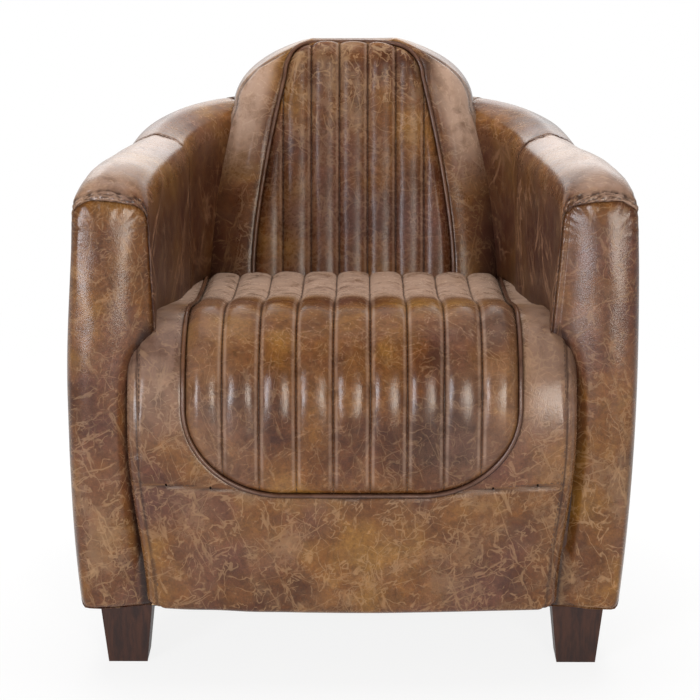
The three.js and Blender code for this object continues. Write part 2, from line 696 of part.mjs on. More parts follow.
function seatChannelPanel() {
  const places = channelPlaces(SEAT_CHANNELS);
  const point = (base) => (i, j) => {
    const row = seatRows[i];
    const rise = base ? 0 : LEATHER + channelRise(places[j], SEAT_CHANNELS, SEAT_CHANNEL_RISE);
    const { half, radius } = seatEdge(row);
    const x = (2 * places[j] - 1) * seatPanelHalfWidth;
    return seatPoint(row, (x / (half - radius)) * flatShare, 0).add(
      new THREE.Vector3(0, row[2] * (GAP + rise), row[3] * (GAP + rise)),
    );
  };
  const whole = slab(seatRows.length - 1, places.length - 1, point(false), point(true));
  const cutter = prismAlongY(seatPanelOutline(-pipingRoom), ...seatCutDepth);
  return toGeometry(toSolid(whole).intersect(toSolid(cutter)));
}

// The seat's plain leather as one sheet, before it is cut into its panels
function seatLeather() {
  const point = (height) => (i, j) => seatPoint(seatRows[i], seatColumns[j], height);
  const sheet = slab(seatRows.length - 1, seatColumns.length - 1, point(skin), point(GAP));
  const opening = prismAlongY(seatPanelOutline(pipingRoom), ...seatCutDepth);
  return toSolid(sheet).subtract(toSolid(opening)).subtract(grownTub(GAP));
}

function seatPipingGeometry() {
  const outline = seatPanelOutline(0).slice(1, -1);
  const [firstX] = [outline[0].x];
  const lowestTurn = outline[0].y;
  const upper = seatRows.filter(([, z]) => z > lowestTurn + 1);
  const onSurface = (x, z) => {
    const at = seatRows.findIndex((row) => row[1] <= z && row[3] < 1);
    const [a, b] = [seatRows[at - 1], seatRows[at]];
    const t = (z - a[1]) / (b[1] - a[1]);
    return a.map((v, i) => v + (b[i] - v) * t);
  };
  const lift = PIPING_RADIUS + GAP;
  const place = (row, x) => {
    const { half, radius } = seatEdge(row);
    const across = (x / (half - radius)) * flatShare;
    const p = seatPoint(row, across, 0);
    return new THREE.Vector3(x, p.y + row[2] * lift, p.z + row[3] * lift);
  };
  const down = upper.map((row) => place(row, firstX));
  const round = outline.map((p) => place(onSurface(p.x, p.y), p.x));
  const up = upper.map((row) => place(row, -firstX)).reverse();
  return cordGeometry([...down, ...round, ...up], PIPING_RADIUS, 64);
}

function addSeat(chair) {
  const seat = new THREE.Group();
  chair.add(seat);
  const sheet = seatLeather();
  const wide = TUB_WIDTH;
  const above = (low, high, sideX) => {
    const [lowX, highX] = sideX < 0 ? [-wide, 0] : [0, wide];
    return toSolid(block([lowX, -wide, low], [highX, wide, high]));
  };
  const borderRoom = GAP / 2;
  piece('seat_foam', toGeometry(toSolid(seatBody(-FOAM_EASE)).subtract(grownTub(GAP + LEATHER))), foam(), seat);
  piece('seat_channel_panel', seatChannelPanel(), leather(), seat);
  for (const [name, side] of [['left', -1], ['right', 1]]) {
    const half = sheet.intersect(above(BORDER_SEAM_HEIGHT + borderRoom, BACK_TOP, side));
    piece(`seat_side_panel_${name}`, toGeometry(half), leather(), seat);
  }
  const below = block([-wide, -wide, 0], [wide, wide, BORDER_SEAM_HEIGHT - borderRoom]);
  piece('seat_front_border', toGeometry(sheet.intersect(toSolid(below))), leather(), seat);
  piece('seat_piping', seatPipingGeometry(), darkLeather(), seat);
}

// The inside back: a domed pad on a plywood board, with its own channelled panel

// Half the pad's width at a height, up to the flat of its dome
function backHalfWidth(z) {
  if (z <= backShoulder) {
    const t = (z - SEAT_TOP) / (backShoulder - SEAT_TOP);
    return backHalfWidthAtSeat - BACK_SHOULDER_TUCK * Math.max(0, t) ** 2;
  }
  const t = (z - backShoulder) / BACK_DOME_HEIGHT;
  const round = Math.max(0, 1 - t ** 2) ** 0.8;
  return backHalfWidthAtShoulder - BACK_DOME_TUCK * (1 - round);
}

const backThickness = BACK_FACE_FOAM + BACK_BOARD + BACK_REAR_FOAM;

// The pad's thickness at a height: it thins towards the top, where its rear rolls over to meet the front
function backDepth(z) {
  const over = Math.max(0, (z - (BACK_TOP - BACK_TOP_ROUND)) / BACK_TOP_ROUND);
  return backThickness - BACK_TOP_THINNING * over ** 2.2;
}

// The pad's plan at a height, grown by a margin, from its left side round the front to the right and back
function backPlan(z, grow) {
  const half = backHalfWidth(z);
  const front = backFace(z) - grow;
  const rear = backFace(z) + backDepth(z) + grow;
  const share = backDepth(z) / backThickness;
  const corner = (cx, cy, rx, ry, from, to) =>
    spread(from, to, 4).map((a) => {
      const angle = THREE.MathUtils.degToRad(a);
      return [cx + (rx + grow) * Math.cos(angle), cy + (ry + grow) * Math.sin(angle)];
    });
  const edgeRoll = BACK_EDGE_ROLL * share;
  const rearRoll = BACK_REAR_ROLL * share;
  const frontY = front + grow + edgeRoll;
  const rearY = rear - grow - rearRoll;
  return [
    ...corner(-half + BACK_EDGE_ROLL, frontY, BACK_EDGE_ROLL, edgeRoll, 180, 270),
    ...corner(half - BACK_EDGE_ROLL, frontY, BACK_EDGE_ROLL, edgeRoll, 270, 360),
    ...corner(half - BACK_REAR_ROLL, rearY, BACK_REAR_ROLL, rearRoll, 0, 90),
    ...corner(-half + BACK_REAR_ROLL, rearY, BACK_REAR_ROLL, rearRoll, 90, 180),
  ];
}

const padTop = BACK_TOP - PIPING_RADIUS;

function backBody(grow, bottom) {
  const dome = spread(backShoulder, padTop, 8).slice(1);
  const heights = [bottom, backPadBottom + GAP, SEAT_TOP, ...spread(SEAT_TOP, backShoulder, 4).slice(1), ...dome];
  const levels = [...new Set(heights)].sort((a, b) => a - b);
  const sections = levels.map((z) => {
    const lift = z > backShoulder ? (grow * (z - backShoulder)) / (padTop - backShoulder) : 0;
    return backPlan(z, grow).map(([x, y]) => new THREE.Vector3(x, y, z + lift));
  });
  const flat = (section) => section.map((p) => new THREE.Vector2(p.x, p.y));
  return loft(sections, flat(sections[0]), flat(sections.at(-1)));
}

// The plywood board inside the back pad, grown by a margin and reaching down by an extra length
function backBoard(grow, extraDown) {
  const margin = BACK_BOARD_MARGIN;
  const upTo = spread(backPadBottom, backShoulder, 3);
  const heights = [...upTo, ...spread(backShoulder, padTop - margin, 4).slice(1)];
  const betweenWalls = (z) => innerHalfWidth(boardFront(Math.min(z, TUB_BACK_TOP)) + BACK_BOARD);
  const room = (z) => Math.min(backHalfWidth(z + margin / 2), betweenWalls(z));
  const right = heights.map((z) => [room(z) - margin + grow, z]);
  const top = right.at(-1);
  top[1] += grow;
  if (extraDown > 0) right.unshift([right[0][0], backPadBottom - extraDown]);
  const outline = [...right, ...right.map(([x, z]) => [-x, z]).reverse()];
  const flat = outline.map((p) => new THREE.Vector2(...p));
  const depth = BACK_BOARD / Math.cos(THREE.MathUtils.degToRad(BACK_LEAN));
  const front = boardFront(SEAT_TOP) - backFace(SEAT_TOP);
  return leaningPrism(flat, front - grow, front + depth + grow);
}

// The outline of the channelled back panel in X and Z, grown by a margin
function backPanelOutline(margin, top = padTop) {
  const bottom = backPadBottom;
  const cornerZ = top - BACK_PANEL_CORNER;
  const slope = (backPanelHalfWidthAtSeat - backPanelHalfWidthAtTop) / (cornerZ - SEAT_TOP);
  const bend = (z) => {
    const t = Math.max(0, (z - SEAT_TOP) / (cornerZ - SEAT_TOP));
    return backPanelHalfWidthAtSeat - slope * (cornerZ - SEAT_TOP) * t ** 1.5;
  };
  const side = [bottom, ...spread(SEAT_TOP, cornerZ, 5)].map((z) => [bend(z) + margin, z]);
  const centreX = backPanelHalfWidthAtTop - BACK_PANEL_CORNER;
  const corner = spread(0, Math.PI / 2, 6).slice(1).map((a) => [
    centreX + (BACK_PANEL_CORNER + margin) * Math.cos(a),
    cornerZ + (BACK_PANEL_CORNER + margin) * Math.sin(a),
  ]);
  const right = [...side, ...corner];
  return [...right, ...right.map(([x, z]) => [-x, z]).reverse()].map((p) => new THREE.Vector2(...p));
}

// A flat outline pushed along Y between two distances from the leaning face of the back
function leaningPrism(outline, from, to) {
  const layer = (distance) => outline.map((p) => new THREE.Vector3(p.x, backFace(p.y) + distance, p.y));
  return loft([layer(from), layer(to)], outline, outline);
}

function backChannelPanel() {
  const places = channelPlaces(BACK_CHANNELS);
  const heights = [backPadBottom, ...spread(SEAT_TOP, padTop, 6)];
  const point = (base) => (i, j) => {
    const z = heights[i];
    const rise = base ? 0 : LEATHER + channelRise(places[j], BACK_CHANNELS, BACK_CHANNEL_RISE);
    return new THREE.Vector3((2 * places[j] - 1) * backPanelHalfWidthAtSeat, backFace(z) - GAP - rise, z);
  };
  const whole = slab(heights.length - 1, places.length - 1, point(false), point(true));
  const cutter = prismAlongY(backPanelOutline(-pipingRoom), armFront, tubRear);
  return toGeometry(toSolid(whole).intersect(toSolid(cutter)));
}

function backPipingGeometry() {
  const outline = backPanelOutline(0).filter((p) => p.y > backPadBottom);
  const points = outline.map((p) => new THREE.Vector3(p.x, backFace(p.y) - PIPING_RADIUS - GAP, p.y));
  return cordGeometry(points, PIPING_RADIUS, 56);
}

function addBack(chair) {
  const back = new THREE.Group();
  chair.add(back);
  const tub = grownTub(GAP);
  const outside = toSolid(backBody(skin, backPadBottom));
  const inside = toSolid(backBody(GAP, backPadBottom - SEAT_REACH));
  const opening = toSolid(leaningPrism(backPanelOutline(pipingRoom), -BACK_FACE_FOAM, BACK_FACE_FOAM));
  const foamSolid = toSolid(backBody(0, backPadBottom)).subtract(toSolid(backBoard(GAP, SEAT_REACH)));
  const tightTub = grownTub(skin + GAP);
  piece('back_board', backBoardGeometry(), plywood(), back);
  piece('back_foam', toGeometry(foamSolid.subtract(tightTub)), foam(), back);
  piece('back_cover', toGeometry(outside.subtract(inside).subtract(opening).subtract(tub)), leather(), back);
  piece('back_channel_panel', backChannelPanel(), leather(), back);
  piece('back_piping', backPipingGeometry(), darkLeather(), back);
}

function backBoardGeometry() {
  return backBoard(0, 0);
}

const chair = new THREE.Group();
addLegs(chair);
addTub(chair);
addSeatFrame(chair);
addSeat(chair);
addBack(chair);

export default chair;
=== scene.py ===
# %% [markdown]
# A worn club chair: brown waxed leather pulled over foam, on a tub-shaped frame with four short legs.
# The solids of the chair are already packed as a frame. This lesson dresses them: each soft solid gets
# a detailed leather mesh in its place, and the hard pieces keep their shape and get better materials.

# %% The frame that everything is built on
import math

import bpy
import numpy as np
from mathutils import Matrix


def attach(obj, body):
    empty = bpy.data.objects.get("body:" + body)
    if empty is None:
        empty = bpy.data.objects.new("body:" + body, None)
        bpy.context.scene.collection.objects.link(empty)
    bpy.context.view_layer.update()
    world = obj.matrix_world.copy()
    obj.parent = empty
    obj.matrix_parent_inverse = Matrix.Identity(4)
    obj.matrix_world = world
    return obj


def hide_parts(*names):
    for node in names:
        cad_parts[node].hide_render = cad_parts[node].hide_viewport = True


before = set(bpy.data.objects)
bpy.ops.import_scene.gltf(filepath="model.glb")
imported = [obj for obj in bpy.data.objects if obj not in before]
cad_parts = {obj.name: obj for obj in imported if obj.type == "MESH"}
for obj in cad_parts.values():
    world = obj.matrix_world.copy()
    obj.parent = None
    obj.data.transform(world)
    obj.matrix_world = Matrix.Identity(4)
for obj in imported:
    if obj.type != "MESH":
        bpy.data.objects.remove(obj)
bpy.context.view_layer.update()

# %% [markdown]
# The camera stands about three metres in front of the chair, a little above its top, and looks slightly
# down. Its place was worked out from the legs and arms in the picture, so the chair fills the same part of
# the frame. A long lens keeps the perspective as flat as it is there.

# %% Camera
scene = bpy.context.scene
camera_data = bpy.data.cameras.new("camera")
camera_data.sensor_width = 36.0
camera_data.lens = 120.2
camera_data.clip_end = 120.0
camera = bpy.data.objects.new("camera", camera_data)
camera.location = (0.0147, -3.3395, 1.2)
camera.rotation_euler = (math.radians(90 - 14.15), 0.0, math.radians(0.33))
scene.collection.objects.link(camera)
scene.camera = camera
print("camera at", tuple(camera.location))

# %% [markdown]
# Leather shows its form through broad soft reflections. Real studio pictures use large white panels. This
# scene has one low in front at each side, which draws two soft lines down each arm, and a weak one behind.
# The panel above lights the seat but isn't mirrored in the wax, because its mirror image would be one broad
# band on the roll. The camera sees a plain white world, and reflections see white that fades to grey in
# front of the chair and overhead.

# %% Lights
def soft_panel(name, place, aim, size, power, tint=(1.0, 1.0, 1.0)):
    data = bpy.data.lights.new(name, "AREA")
    data.shape = "RECTANGLE"
    data.size, data.size_y = size
    data.energy = power
    data.color = tint
    panel = bpy.data.objects.new(name, data)
    panel.location = place
    direction = np.array(aim) - np.array(place)
    pitch = math.atan2(math.hypot(direction[0], direction[1]), -direction[2])
    panel.rotation_euler = (pitch, 0.0, math.atan2(direction[1], direction[0]) - math.pi / 2)
    scene.collection.objects.link(panel)
    return panel


def at_azimuth(degrees, distance, height):
    """A place round the chair. Zero is straight in front of it, and the right side is positive."""
    a = math.radians(degrees)
    return (distance * math.sin(a), -distance * math.cos(a), height)


soft_panel("panel_above", (0.0, 0.5, 2.5), (0.0, 0.0, 0.4), (2.4, 1.7), 88)
soft_panel("panel_left", at_azimuth(-31, 4.5, 0.98), (0.0, 0.0, 0.5), (1.0, 1.8), 117, (0.93, 0.94, 1.0))
soft_panel("panel_right", at_azimuth(14, 4.5, 0.98), (0.0, 0.0, 0.5), (1.0, 1.8), 110, (1.0, 0.91, 0.80))
bpy.data.objects["panel_above"].visible_glossy = False
soft_panel("panel_behind", (0.0, 2.6, 1.4), (0.0, 0.2, 0.5), (2.6, 0.8), 8)
print("4 soft panels")

# %% A small helper for shader nodes
def add_node(tree, kind, inputs=None, **settings):
    """Adds a node, sets its properties, and fills its inputs with values or with other sockets."""
    node = tree.nodes.new(kind)
    for key, value in settings.items():
        setattr(node, key, value)
    for key, value in (inputs or {}).items():
        if isinstance(value, bpy.types.NodeSocket):
            tree.links.new(value, node.inputs[key])
        else:
            node.inputs[key].default_value = value
    return node


def math_node(tree, operation, a, b=0.0, clamp=False):
    return add_node(tree, "ShaderNodeMath", {0: a, 1: b}, operation=operation, use_clamp=clamp).outputs[0]


def mix_colour(tree, factor, a, b, blend="MIX"):
    node = add_node(tree, "ShaderNodeMix", {0: factor, 6: a, 7: b}, data_type="RGBA", blend_type=blend)
    return node.outputs[2]


def between(tree, value, low, high):
    """Turns value into 0 below low and 1 above high, with a smooth step between them."""
    node = add_node(tree, "ShaderNodeMapRange", {0: value, 1: low, 2: high}, interpolation_type="SMOOTHSTEP")
    return node.outputs[0]


def noise(tree, place, scale, detail=2.0, roughness=0.5, distortion=0.0):
    inputs = {"Vector": place, "Scale": scale, "Detail": detail, "Roughness": roughness,
              "Distortion": distortion}
    return add_node(tree, "ShaderNodeTexNoise", inputs).outputs[0]


def new_material(name):
    material = bpy.data.materials.new(name)
    material.use_nodes = True
    tree = material.node_tree
    tree.nodes.clear()
    return material, tree


# %% World and floor
def white_for_the_camera(tree):
    path = add_node(tree, "ShaderNodeLightPath")
    seen = math_node(tree, "MAXIMUM", path.outputs["Is Camera Ray"], path.outputs["Is Glossy Ray"])
    return math_node(tree, "MAXIMUM", seen, path.outputs["Is Transmission Ray"])


world = bpy.data.worlds.new("world")
scene.world = world
world.use_nodes = True
tree = world.node_tree
tree.nodes.clear()
light = add_node(tree, "ShaderNodeBackground", {"Color": (1, 1, 1, 1), "Strength": 0.22})
generated = add_node(tree, "ShaderNodeTexCoord").outputs["Generated"]
direction = add_node(tree, "ShaderNodeSeparateXYZ", {0: generated})
behind = between(tree, direction.outputs[1], -0.35, 0.35)
overhead = math_node(tree, "MULTIPLY", between(tree, direction.outputs[2], 0.4, 0.85), 0.7)
backdrop = math_node(tree, "MULTIPLY", math_node(tree, "ADD", 0.3, math_node(tree, "MULTIPLY", behind, 0.7)),
                     math_node(tree, "SUBTRACT", 1.0, overhead))
camera_ray = add_node(tree, "ShaderNodeLightPath").outputs["Is Camera Ray"]
white = add_node(tree, "ShaderNodeBackground", {
    "Color": (1, 1, 1, 1), "Strength": math_node(tree, "MAXIMUM", backdrop, camera_ray)})
mixed = add_node(tree, "ShaderNodeMixShader", {
    0: white_for_the_camera(tree), 1: light.outputs[0], 2: white.outputs[0]})
add_node(tree, "ShaderNodeOutputWorld", {0: mixed.outputs[0]})

floor_material, tree = new_material("pale_floor")
pale = add_node(tree, "ShaderNodeBsdfDiffuse", {"Color": (0.86, 0.86, 0.86, 1)})
glow = add_node(tree, "ShaderNodeEmission", {"Color": (1, 1, 1, 1), "Strength": 1.0})
spot = add_node(tree, "ShaderNodeTexCoord").outputs["Object"]
away = add_node(tree, "ShaderNodeVectorMath", {0: spot}, operation="LENGTH").outputs["Value"]
far = between(tree, away, 0.55, 1.9)
glowing = math_node(tree, "ADD", 0.86, math_node(tree, "MULTIPLY", far, 0.14))
seen = math_node(tree, "MULTIPLY", white_for_the_camera(tree), glowing)
mixed = add_node(tree, "ShaderNodeMixShader", {0: seen, 1: pale.outputs[0], 2: glow.outputs[0]})
add_node(tree, "ShaderNodeOutputMaterial", {0: mixed.outputs[0]})
floor_mesh = bpy.data.meshes.new("floor")
FLOOR_HALF = 45.0
corners = [(x * FLOOR_HALF, y * FLOOR_HALF, 0) for x, y in ((-1, -1), (1, -1), (1, 1), (-1, 1))]
floor_mesh.from_pydata(corners, [], [(0, 1, 2, 3)])
floor = bpy.data.objects.new("floor", floor_mesh)
floor_mesh.materials.append(floor_material)
scene.collection.objects.link(floor)
scene.view_settings.view_transform = "Standard"
print("world and floor are set")

# %% [markdown]
# Waxed leather that has been worn on purpose is never one brown. The dye lies in patches, the wax cracks
# into fine pale veins, the grain is pebbled, and the seams stay dark. Shade in recesses and gaps, and sheen
# and highlights where the leather would catch the light, are painted in as well. One node group makes all
# of this from the place on the surface and from a few numbers stored on the mesh, so every leather piece
# can share it.

# %% The leather group
MM = 0.001


def new_group(name, inputs, outputs):
    group = bpy.data.node_groups.new(name, "ShaderNodeTree")
    for title, kind, value in inputs:
        socket = group.interface.new_socket(title, in_out="INPUT", socket_type=kind)
        socket.default_value = value
    for title, kind in outputs:
        group.interface.new_socket(title, in_out="OUTPUT", socket_type=kind)
    return group, group.nodes.new("NodeGroupInput").outputs


def shifted(tree, place, offset):
    return add_node(tree, "ShaderNodeVectorMath", {0: place, 1: offset}, operation="ADD").outputs[0]


def stretched(tree, place, factor):
    return add_node(tree, "ShaderNodeVectorMath", {0: place, 1: factor}, operation="MULTIPLY").outputs[0]


def crack_lines(tree, place, scale, width, gate_scale, gate):
    """Thin lines along the edges of bent cells, seen only where a second noise is high."""
    cells = add_node(tree, "ShaderNodeTexVoronoi", {"Vector": place, "Scale": scale},
                     feature="DISTANCE_TO_EDGE")
    line = between(tree, cells.outputs["Distance"], width, 0.0)
    present = between(tree, noise(tree, shifted(tree, place, (4, 7, 2)), gate_scale, 3.0, 0.6), *gate)
    return math_node(tree, "MULTIPLY", line, present)


def scratch_lines(tree, place, factor, width, gate):
    """Long thin scratches: the middle value of a noise that is drawn out along one direction."""
    drawn = stretched(tree, place, factor)
    ridge = math_node(tree, "ABSOLUTE", math_node(tree, "SUBTRACT", noise(tree, drawn, 1.0, 2.0, 0.5), 0.5))
    line = between(tree, ridge, width, 0.0)
    present = between(tree, noise(tree, shifted(tree, drawn, (5, 3, 8)), 0.8, 2.0), *gate)
    return math_node(tree, "MULTIPLY", line, present)


def turned(tree, place, degrees):
    angles = tuple(math.radians(v) for v in degrees)
    inputs = {"Vector": place, "Rotation": angles}
    return add_node(tree, "ShaderNodeVectorRotate", inputs, rotation_type="EULER_XYZ").outputs[0]


def strongest(tree, values):
    result = values[0]
    for value in values[1:]:
        result = math_node(tree, "MAXIMUM", result, value)
    return result


hide, given = new_group(
    "worn_hide",
    [("Panel", "NodeSocketFloat", 0.0), ("Crease_and_shade", "NodeSocketFloat", 0.0), ("Wear_and_sheen", "NodeSocketFloat", 0.0),
     ("Streak", "NodeSocketFloat", 0.0), ("Pale", "NodeSocketFloat", 0.0), ("Shade", "NodeSocketFloat", 0.0)],
    [("Color", "NodeSocketColor"), ("Roughness", "NodeSocketFloat"), ("Height", "NodeSocketFloat")],
)
where = add_node(hide, "ShaderNodeTexCoord").outputs["Object"]
panel_shift = add_node(hide, "ShaderNodeCombineXYZ", {
    0: math_node(hide, "MULTIPLY", given["Panel"], 1.73),
    1: math_node(hide, "MULTIPLY", given["Panel"], 0.91),
    2: math_node(hide, "MULTIPLY", given["Panel"], 2.37),
}).outputs[0]
place = add_node(hide, "ShaderNodeVectorMath", {0: where, 1: panel_shift}, operation="ADD").outputs[0]
warp_inputs = {"Vector": place, "Scale": 22.0, "Detail": 4.0, "Roughness": 0.6}
warp = add_node(hide, "ShaderNodeTexNoise", warp_inputs).outputs[1]
bend = add_node(hide, "ShaderNodeVectorMath", {0: warp, "Scale": 0.045}, operation="SCALE").outputs[0]
bent = add_node(hide, "ShaderNodeVectorMath", {0: place, 1: bend}, operation="ADD").outputs[0]

slight = add_node(hide, "ShaderNodeVectorMath", {0: warp, "Scale": 0.014}, operation="SCALE").outputs[0]
straight = add_node(hide, "ShaderNodeVectorMath", {0: place, 1: slight}, operation="ADD").outputs[0]

patches = noise(hide, bent, 8.0, 5.0, 0.6)
ramp = add_node(hide, "ShaderNodeValToRGB", {0: patches})
stops = [(0.33, (0.032, 0.009, 0.004)), (0.45, (0.064, 0.020, 0.005)), (0.55, (0.106, 0.040, 0.009)),
         (0.67, (0.162, 0.074, 0.015))]
ramp.color_ramp.elements[0].position = stops[0][0]
ramp.color_ramp.elements[1].position = stops[-1][0]
for stop, _ in stops[1:-1]:
    ramp.color_ramp.elements.new(stop)
for element, (_, rgb) in zip(ramp.color_ramp.elements, stops):
    element.color = (*rgb, 1)
plum = between(hide, noise(hide, shifted(hide, bent, (3, 1, 7)), 6.0, 4.0, 0.6), 0.45, 0.66)
colour = mix_colour(hide, math_node(hide, "MULTIPLY", plum, 0.6), ramp.outputs[0], (0.084, 0.034, 0.025, 1))
mottle = noise(hide, place, 190.0, 4.0, 0.72)
cloud = noise(hide, bent, 38.0, 4.0, 0.6)
speckle = add_node(hide, "ShaderNodeMapRange", {0: mottle, 1: 0.3, 2: 0.7, 3: 0.72, 4: 1.28}).outputs[0]
blotch = add_node(hide, "ShaderNodeMapRange", {0: cloud, 1: 0.3, 2: 0.7, 3: 0.78, 4: 1.22}).outputs[0]
fleck = noise(hide, place, 430.0, 3.0, 0.7)
grain = add_node(hide, "ShaderNodeMapRange", {0: fleck, 1: 0.3, 2: 0.7, 3: 0.82, 4: 1.18})
tone = math_node(hide, "MULTIPLY", math_node(hide, "MULTIPLY", speckle, blotch), grain.outputs[0])
tones = add_node(hide, "ShaderNodeCombineXYZ", {0: tone, 1: tone, 2: tone}).outputs[0]
colour = mix_colour(hide, 1.0, colour, tones, "MULTIPLY")
shaded = math_node(hide, "MULTIPLY", given["Shade"], 0.85, clamp=True)
colour = mix_colour(hide, shaded, colour, (0.040, 0.011, 0.007, 1))

net = crack_lines(hide, straight, 430.0, 0.16, 24.0, (0.42, 0.66))
cracks = crack_lines(hide, straight, 62.0, 0.04, 20.0, (0.47, 0.66))
seams_of_wax = crack_lines(hide, shifted(hide, straight, (5, 2, 1)), 23.0, 0.018, 14.0, (0.45, 0.62))
haze = crack_lines(hide, shifted(hide, bent, (1, 8, 3)), 30.0, 0.22, 17.0, (0.44, 0.70))
web_kinds = [
    ((0, 28, 12), (6.0, 62.0, 62.0), 0.034, (0.48, 0.60)),
    ((20, -36, 30), (5.0, 50.0, 50.0), 0.030, (0.48, 0.60)),
    ((0, 74, -20), (7.0, 70.0, 70.0), 0.036, (0.50, 0.62)),
    ((-25, -68, 15), (7.0, 60.0, 60.0), 0.032, (0.50, 0.62)),
    ((10, 8, 40), (7.0, 70.0, 70.0), 0.036, (0.54, 0.64)),
]
web = strongest(hide, [scratch_lines(hide, turned(hide, straight, angles), factor, width, gate)
                       for angles, factor, width, gate in web_kinds])
strength = math_node(hide, "ADD", 0.30, math_node(hide, "MULTIPLY", given["Pale"], 0.7))
vein_kinds = ((cracks, 0.45), (seams_of_wax, 0.6), (haze, 0.16), (web, 0.7))
veins = strongest(hide, [math_node(hide, "MULTIPLY", kind, share) for kind, share in vein_kinds])
veins = math_node(hide, "MULTIPLY", veins, strength)
veins = math_node(hide, "MAXIMUM", veins, math_node(hide, "MULTIPLY", net, 0.10))
colour = mix_colour(hide, math_node(hide, "MULTIPLY", veins, 0.72), colour, (0.33, 0.20, 0.10, 1))

scratch_kinds = [
    (None, 24, (30.0, 4.0, 26.0), 0.020, (0.53, 0.64)),
    ((2, 2, 2), -32, (30.0, 4.0, 34.0), 0.024, (0.53, 0.64)),
    ((6, 1, 3), 58, (40.0, 4.0, 28.0), 0.026, (0.51, 0.62)),
    ((1, 5, 3), -66, (40.0, 4.0, 22.0), 0.024, (0.51, 0.62)),
]
scratches = []
for offset, degrees, factor, width, gate in scratch_kinds:
    begin = shifted(hide, straight, offset) if offset else straight
    scratches.append(scratch_lines(hide, turned(hide, begin, (degrees, 0, 0)), factor, width, gate))
scratch = strongest(hide, scratches)
scratch = math_node(hide, "MULTIPLY", scratch, given["Streak"], clamp=True)
colour = mix_colour(hide, math_node(hide, "MULTIPLY", scratch, 0.6), colour, (0.29, 0.155, 0.088, 1))

pale_patch = between(hide, noise(hide, shifted(hide, bent, (2, 9, 4)), 12.0, 5.0, 0.7), 0.45, 0.68)
pale_amount = math_node(hide, "MULTIPLY", pale_patch, given["Pale"], clamp=True)
colour = mix_colour(hide, math_node(hide, "MULTIPLY", pale_amount, 0.32), colour, (0.29, 0.185, 0.10, 1))
# Rub makes the leather paler where it is worn, and also paints sheen and highlights where it would catch the
# light.
wear_and_sheen_amount = math_node(hide, "MULTIPLY", given["Wear_and_sheen"], between(hide, cloud, 0.1, 0.6), clamp=True)
colour = mix_colour(hide, math_node(hide, "MULTIPLY", wear_and_sheen_amount, 0.85), colour, (0.37, 0.255, 0.19, 1))
# Crease darkens the seams and also paints shade into recesses, gaps and hollows, towards near-black brown.
crease_and_shade_amount = math_node(hide, "MULTIPLY", given["Crease_and_shade"], 0.92, clamp=True)
colour = mix_colour(hide, crease_and_shade_amount, colour, (0.016, 0.006, 0.004, 1))

pebble = add_node(hide, "ShaderNodeTexVoronoi", {"Vector": place, "Scale": 640.0}, feature="F1").outputs[0]
fold = noise(hide, place, 260.0, 2.0, 0.6)
height = math_node(hide, "ADD", math_node(hide, "MULTIPLY", pebble, 0.45),
                   math_node(hide, "MULTIPLY", fold, 0.75))
gloss = math_node(hide, "ADD", 0.16, math_node(hide, "MULTIPLY", mottle, 0.14))
gloss = math_node(hide, "ADD", gloss, math_node(hide, "MULTIPLY", veins, 0.16))
gloss = math_node(hide, "ADD", gloss, math_node(hide, "MULTIPLY", pale_amount, 0.12))
gloss = math_node(hide, "ADD", gloss, math_node(hide, "MULTIPLY", given["Shade"], 0.26), clamp=True)
add_node(hide, "NodeGroupOutput", {"Color": colour, "Roughness": gloss, "Height": height})
print("leather group has", len(hide.nodes), "nodes")

# %% Leather materials from the group
def stored(tree, name):
    return add_node(tree, "ShaderNodeAttribute", attribute_name=name).outputs["Fac"]


def leather_material(name, tint=None, bump=0.2):
    material, tree = new_material(name)
    group = add_node(tree, "ShaderNodeGroup", node_tree=hide)
    for title in ("Panel", "Crease_and_shade", "Wear_and_sheen", "Streak", "Pale", "Shade"):
        tree.links.new(stored(tree, title.lower()), group.inputs[title])
    colour = group.outputs["Color"]
    if tint:
        colour = mix_colour(tree, 1.0, colour, (*tint, 1), "MULTIPLY")
    bump_inputs = {"Height": group.outputs["Height"], "Strength": bump, "Distance": 0.0008}
    relief = add_node(tree, "ShaderNodeBump", bump_inputs)
    shader = add_node(tree, "ShaderNodeBsdfPrincipled", {
        "Base Color": colour, "Roughness": group.outputs["Roughness"], "Normal": relief.outputs[0],
        "Specular IOR Level": 0.32,
    })
    add_node(tree, "ShaderNodeOutputMaterial", {0: shader.outputs[0]})
    return material


leather = leather_material("worn_leather")
piping_leather = leather_material("piping_leather", tint=(0.44, 0.35, 0.32))
thread, tree = new_material("thread")
shader = add_node(tree, "ShaderNodeBsdfPrincipled", {
    "Base Color": (0.040, 0.020, 0.013, 1), "Roughness": 0.6})
add_node(tree, "ShaderNodeOutputMaterial", {0: shader.outputs[0]})
print("leather materials are ready")

# %% [markdown]
# Meshes are made from grids of points, because every leather panel is a sheet. A few helpers do the work:
# smooth noise for wrinkles, surface normals for a grid, and a mesh from a grid with its stored numbers.

# %% Noise and grid helpers
def lattice_value(cell, seed):
    n = cell[..., 0] * 73856093 ^ cell[..., 1] * 19349663 ^ cell[..., 2] * 83492791 ^ (seed * 26544357)
    n = ((n ^ (n >> 13)) * 1274126177) & 0xFFFFFFFF
    n = ((n ^ (n >> 15)) * 668265263) & 0xFFFFFFFF
    return ((n ^ (n >> 16)) & 0xFFFF) / 32767.5 - 1.0


def soft_noise(points, size, seed, octaves=1):
    """Smooth noise from -1 to 1 with bumps about size across. points and size are in millimetres."""
    total = 0.0
    for octave in range(octaves):
        p = points * (2.0**octave / np.asarray(size, float))
        cell = np.floor(p).astype(np.int64)
        f = p - cell
        f = f * f * (3 - 2 * f)
        value = 0.0
        for corner in range(8):
            step = np.array([corner & 1, corner >> 1 & 1, corner >> 2])
            weight = np.prod(np.where(step == 1, f, 1 - f), axis=-1)
            value = value + weight * lattice_value(cell + step, seed + octave)
        total = total + value * 0.5**octave
    return total


def step_between(value, low, high):
    t = np.clip((value - low) / (high - low), 0, 1)
    return t * t * (3 - 2 * t)


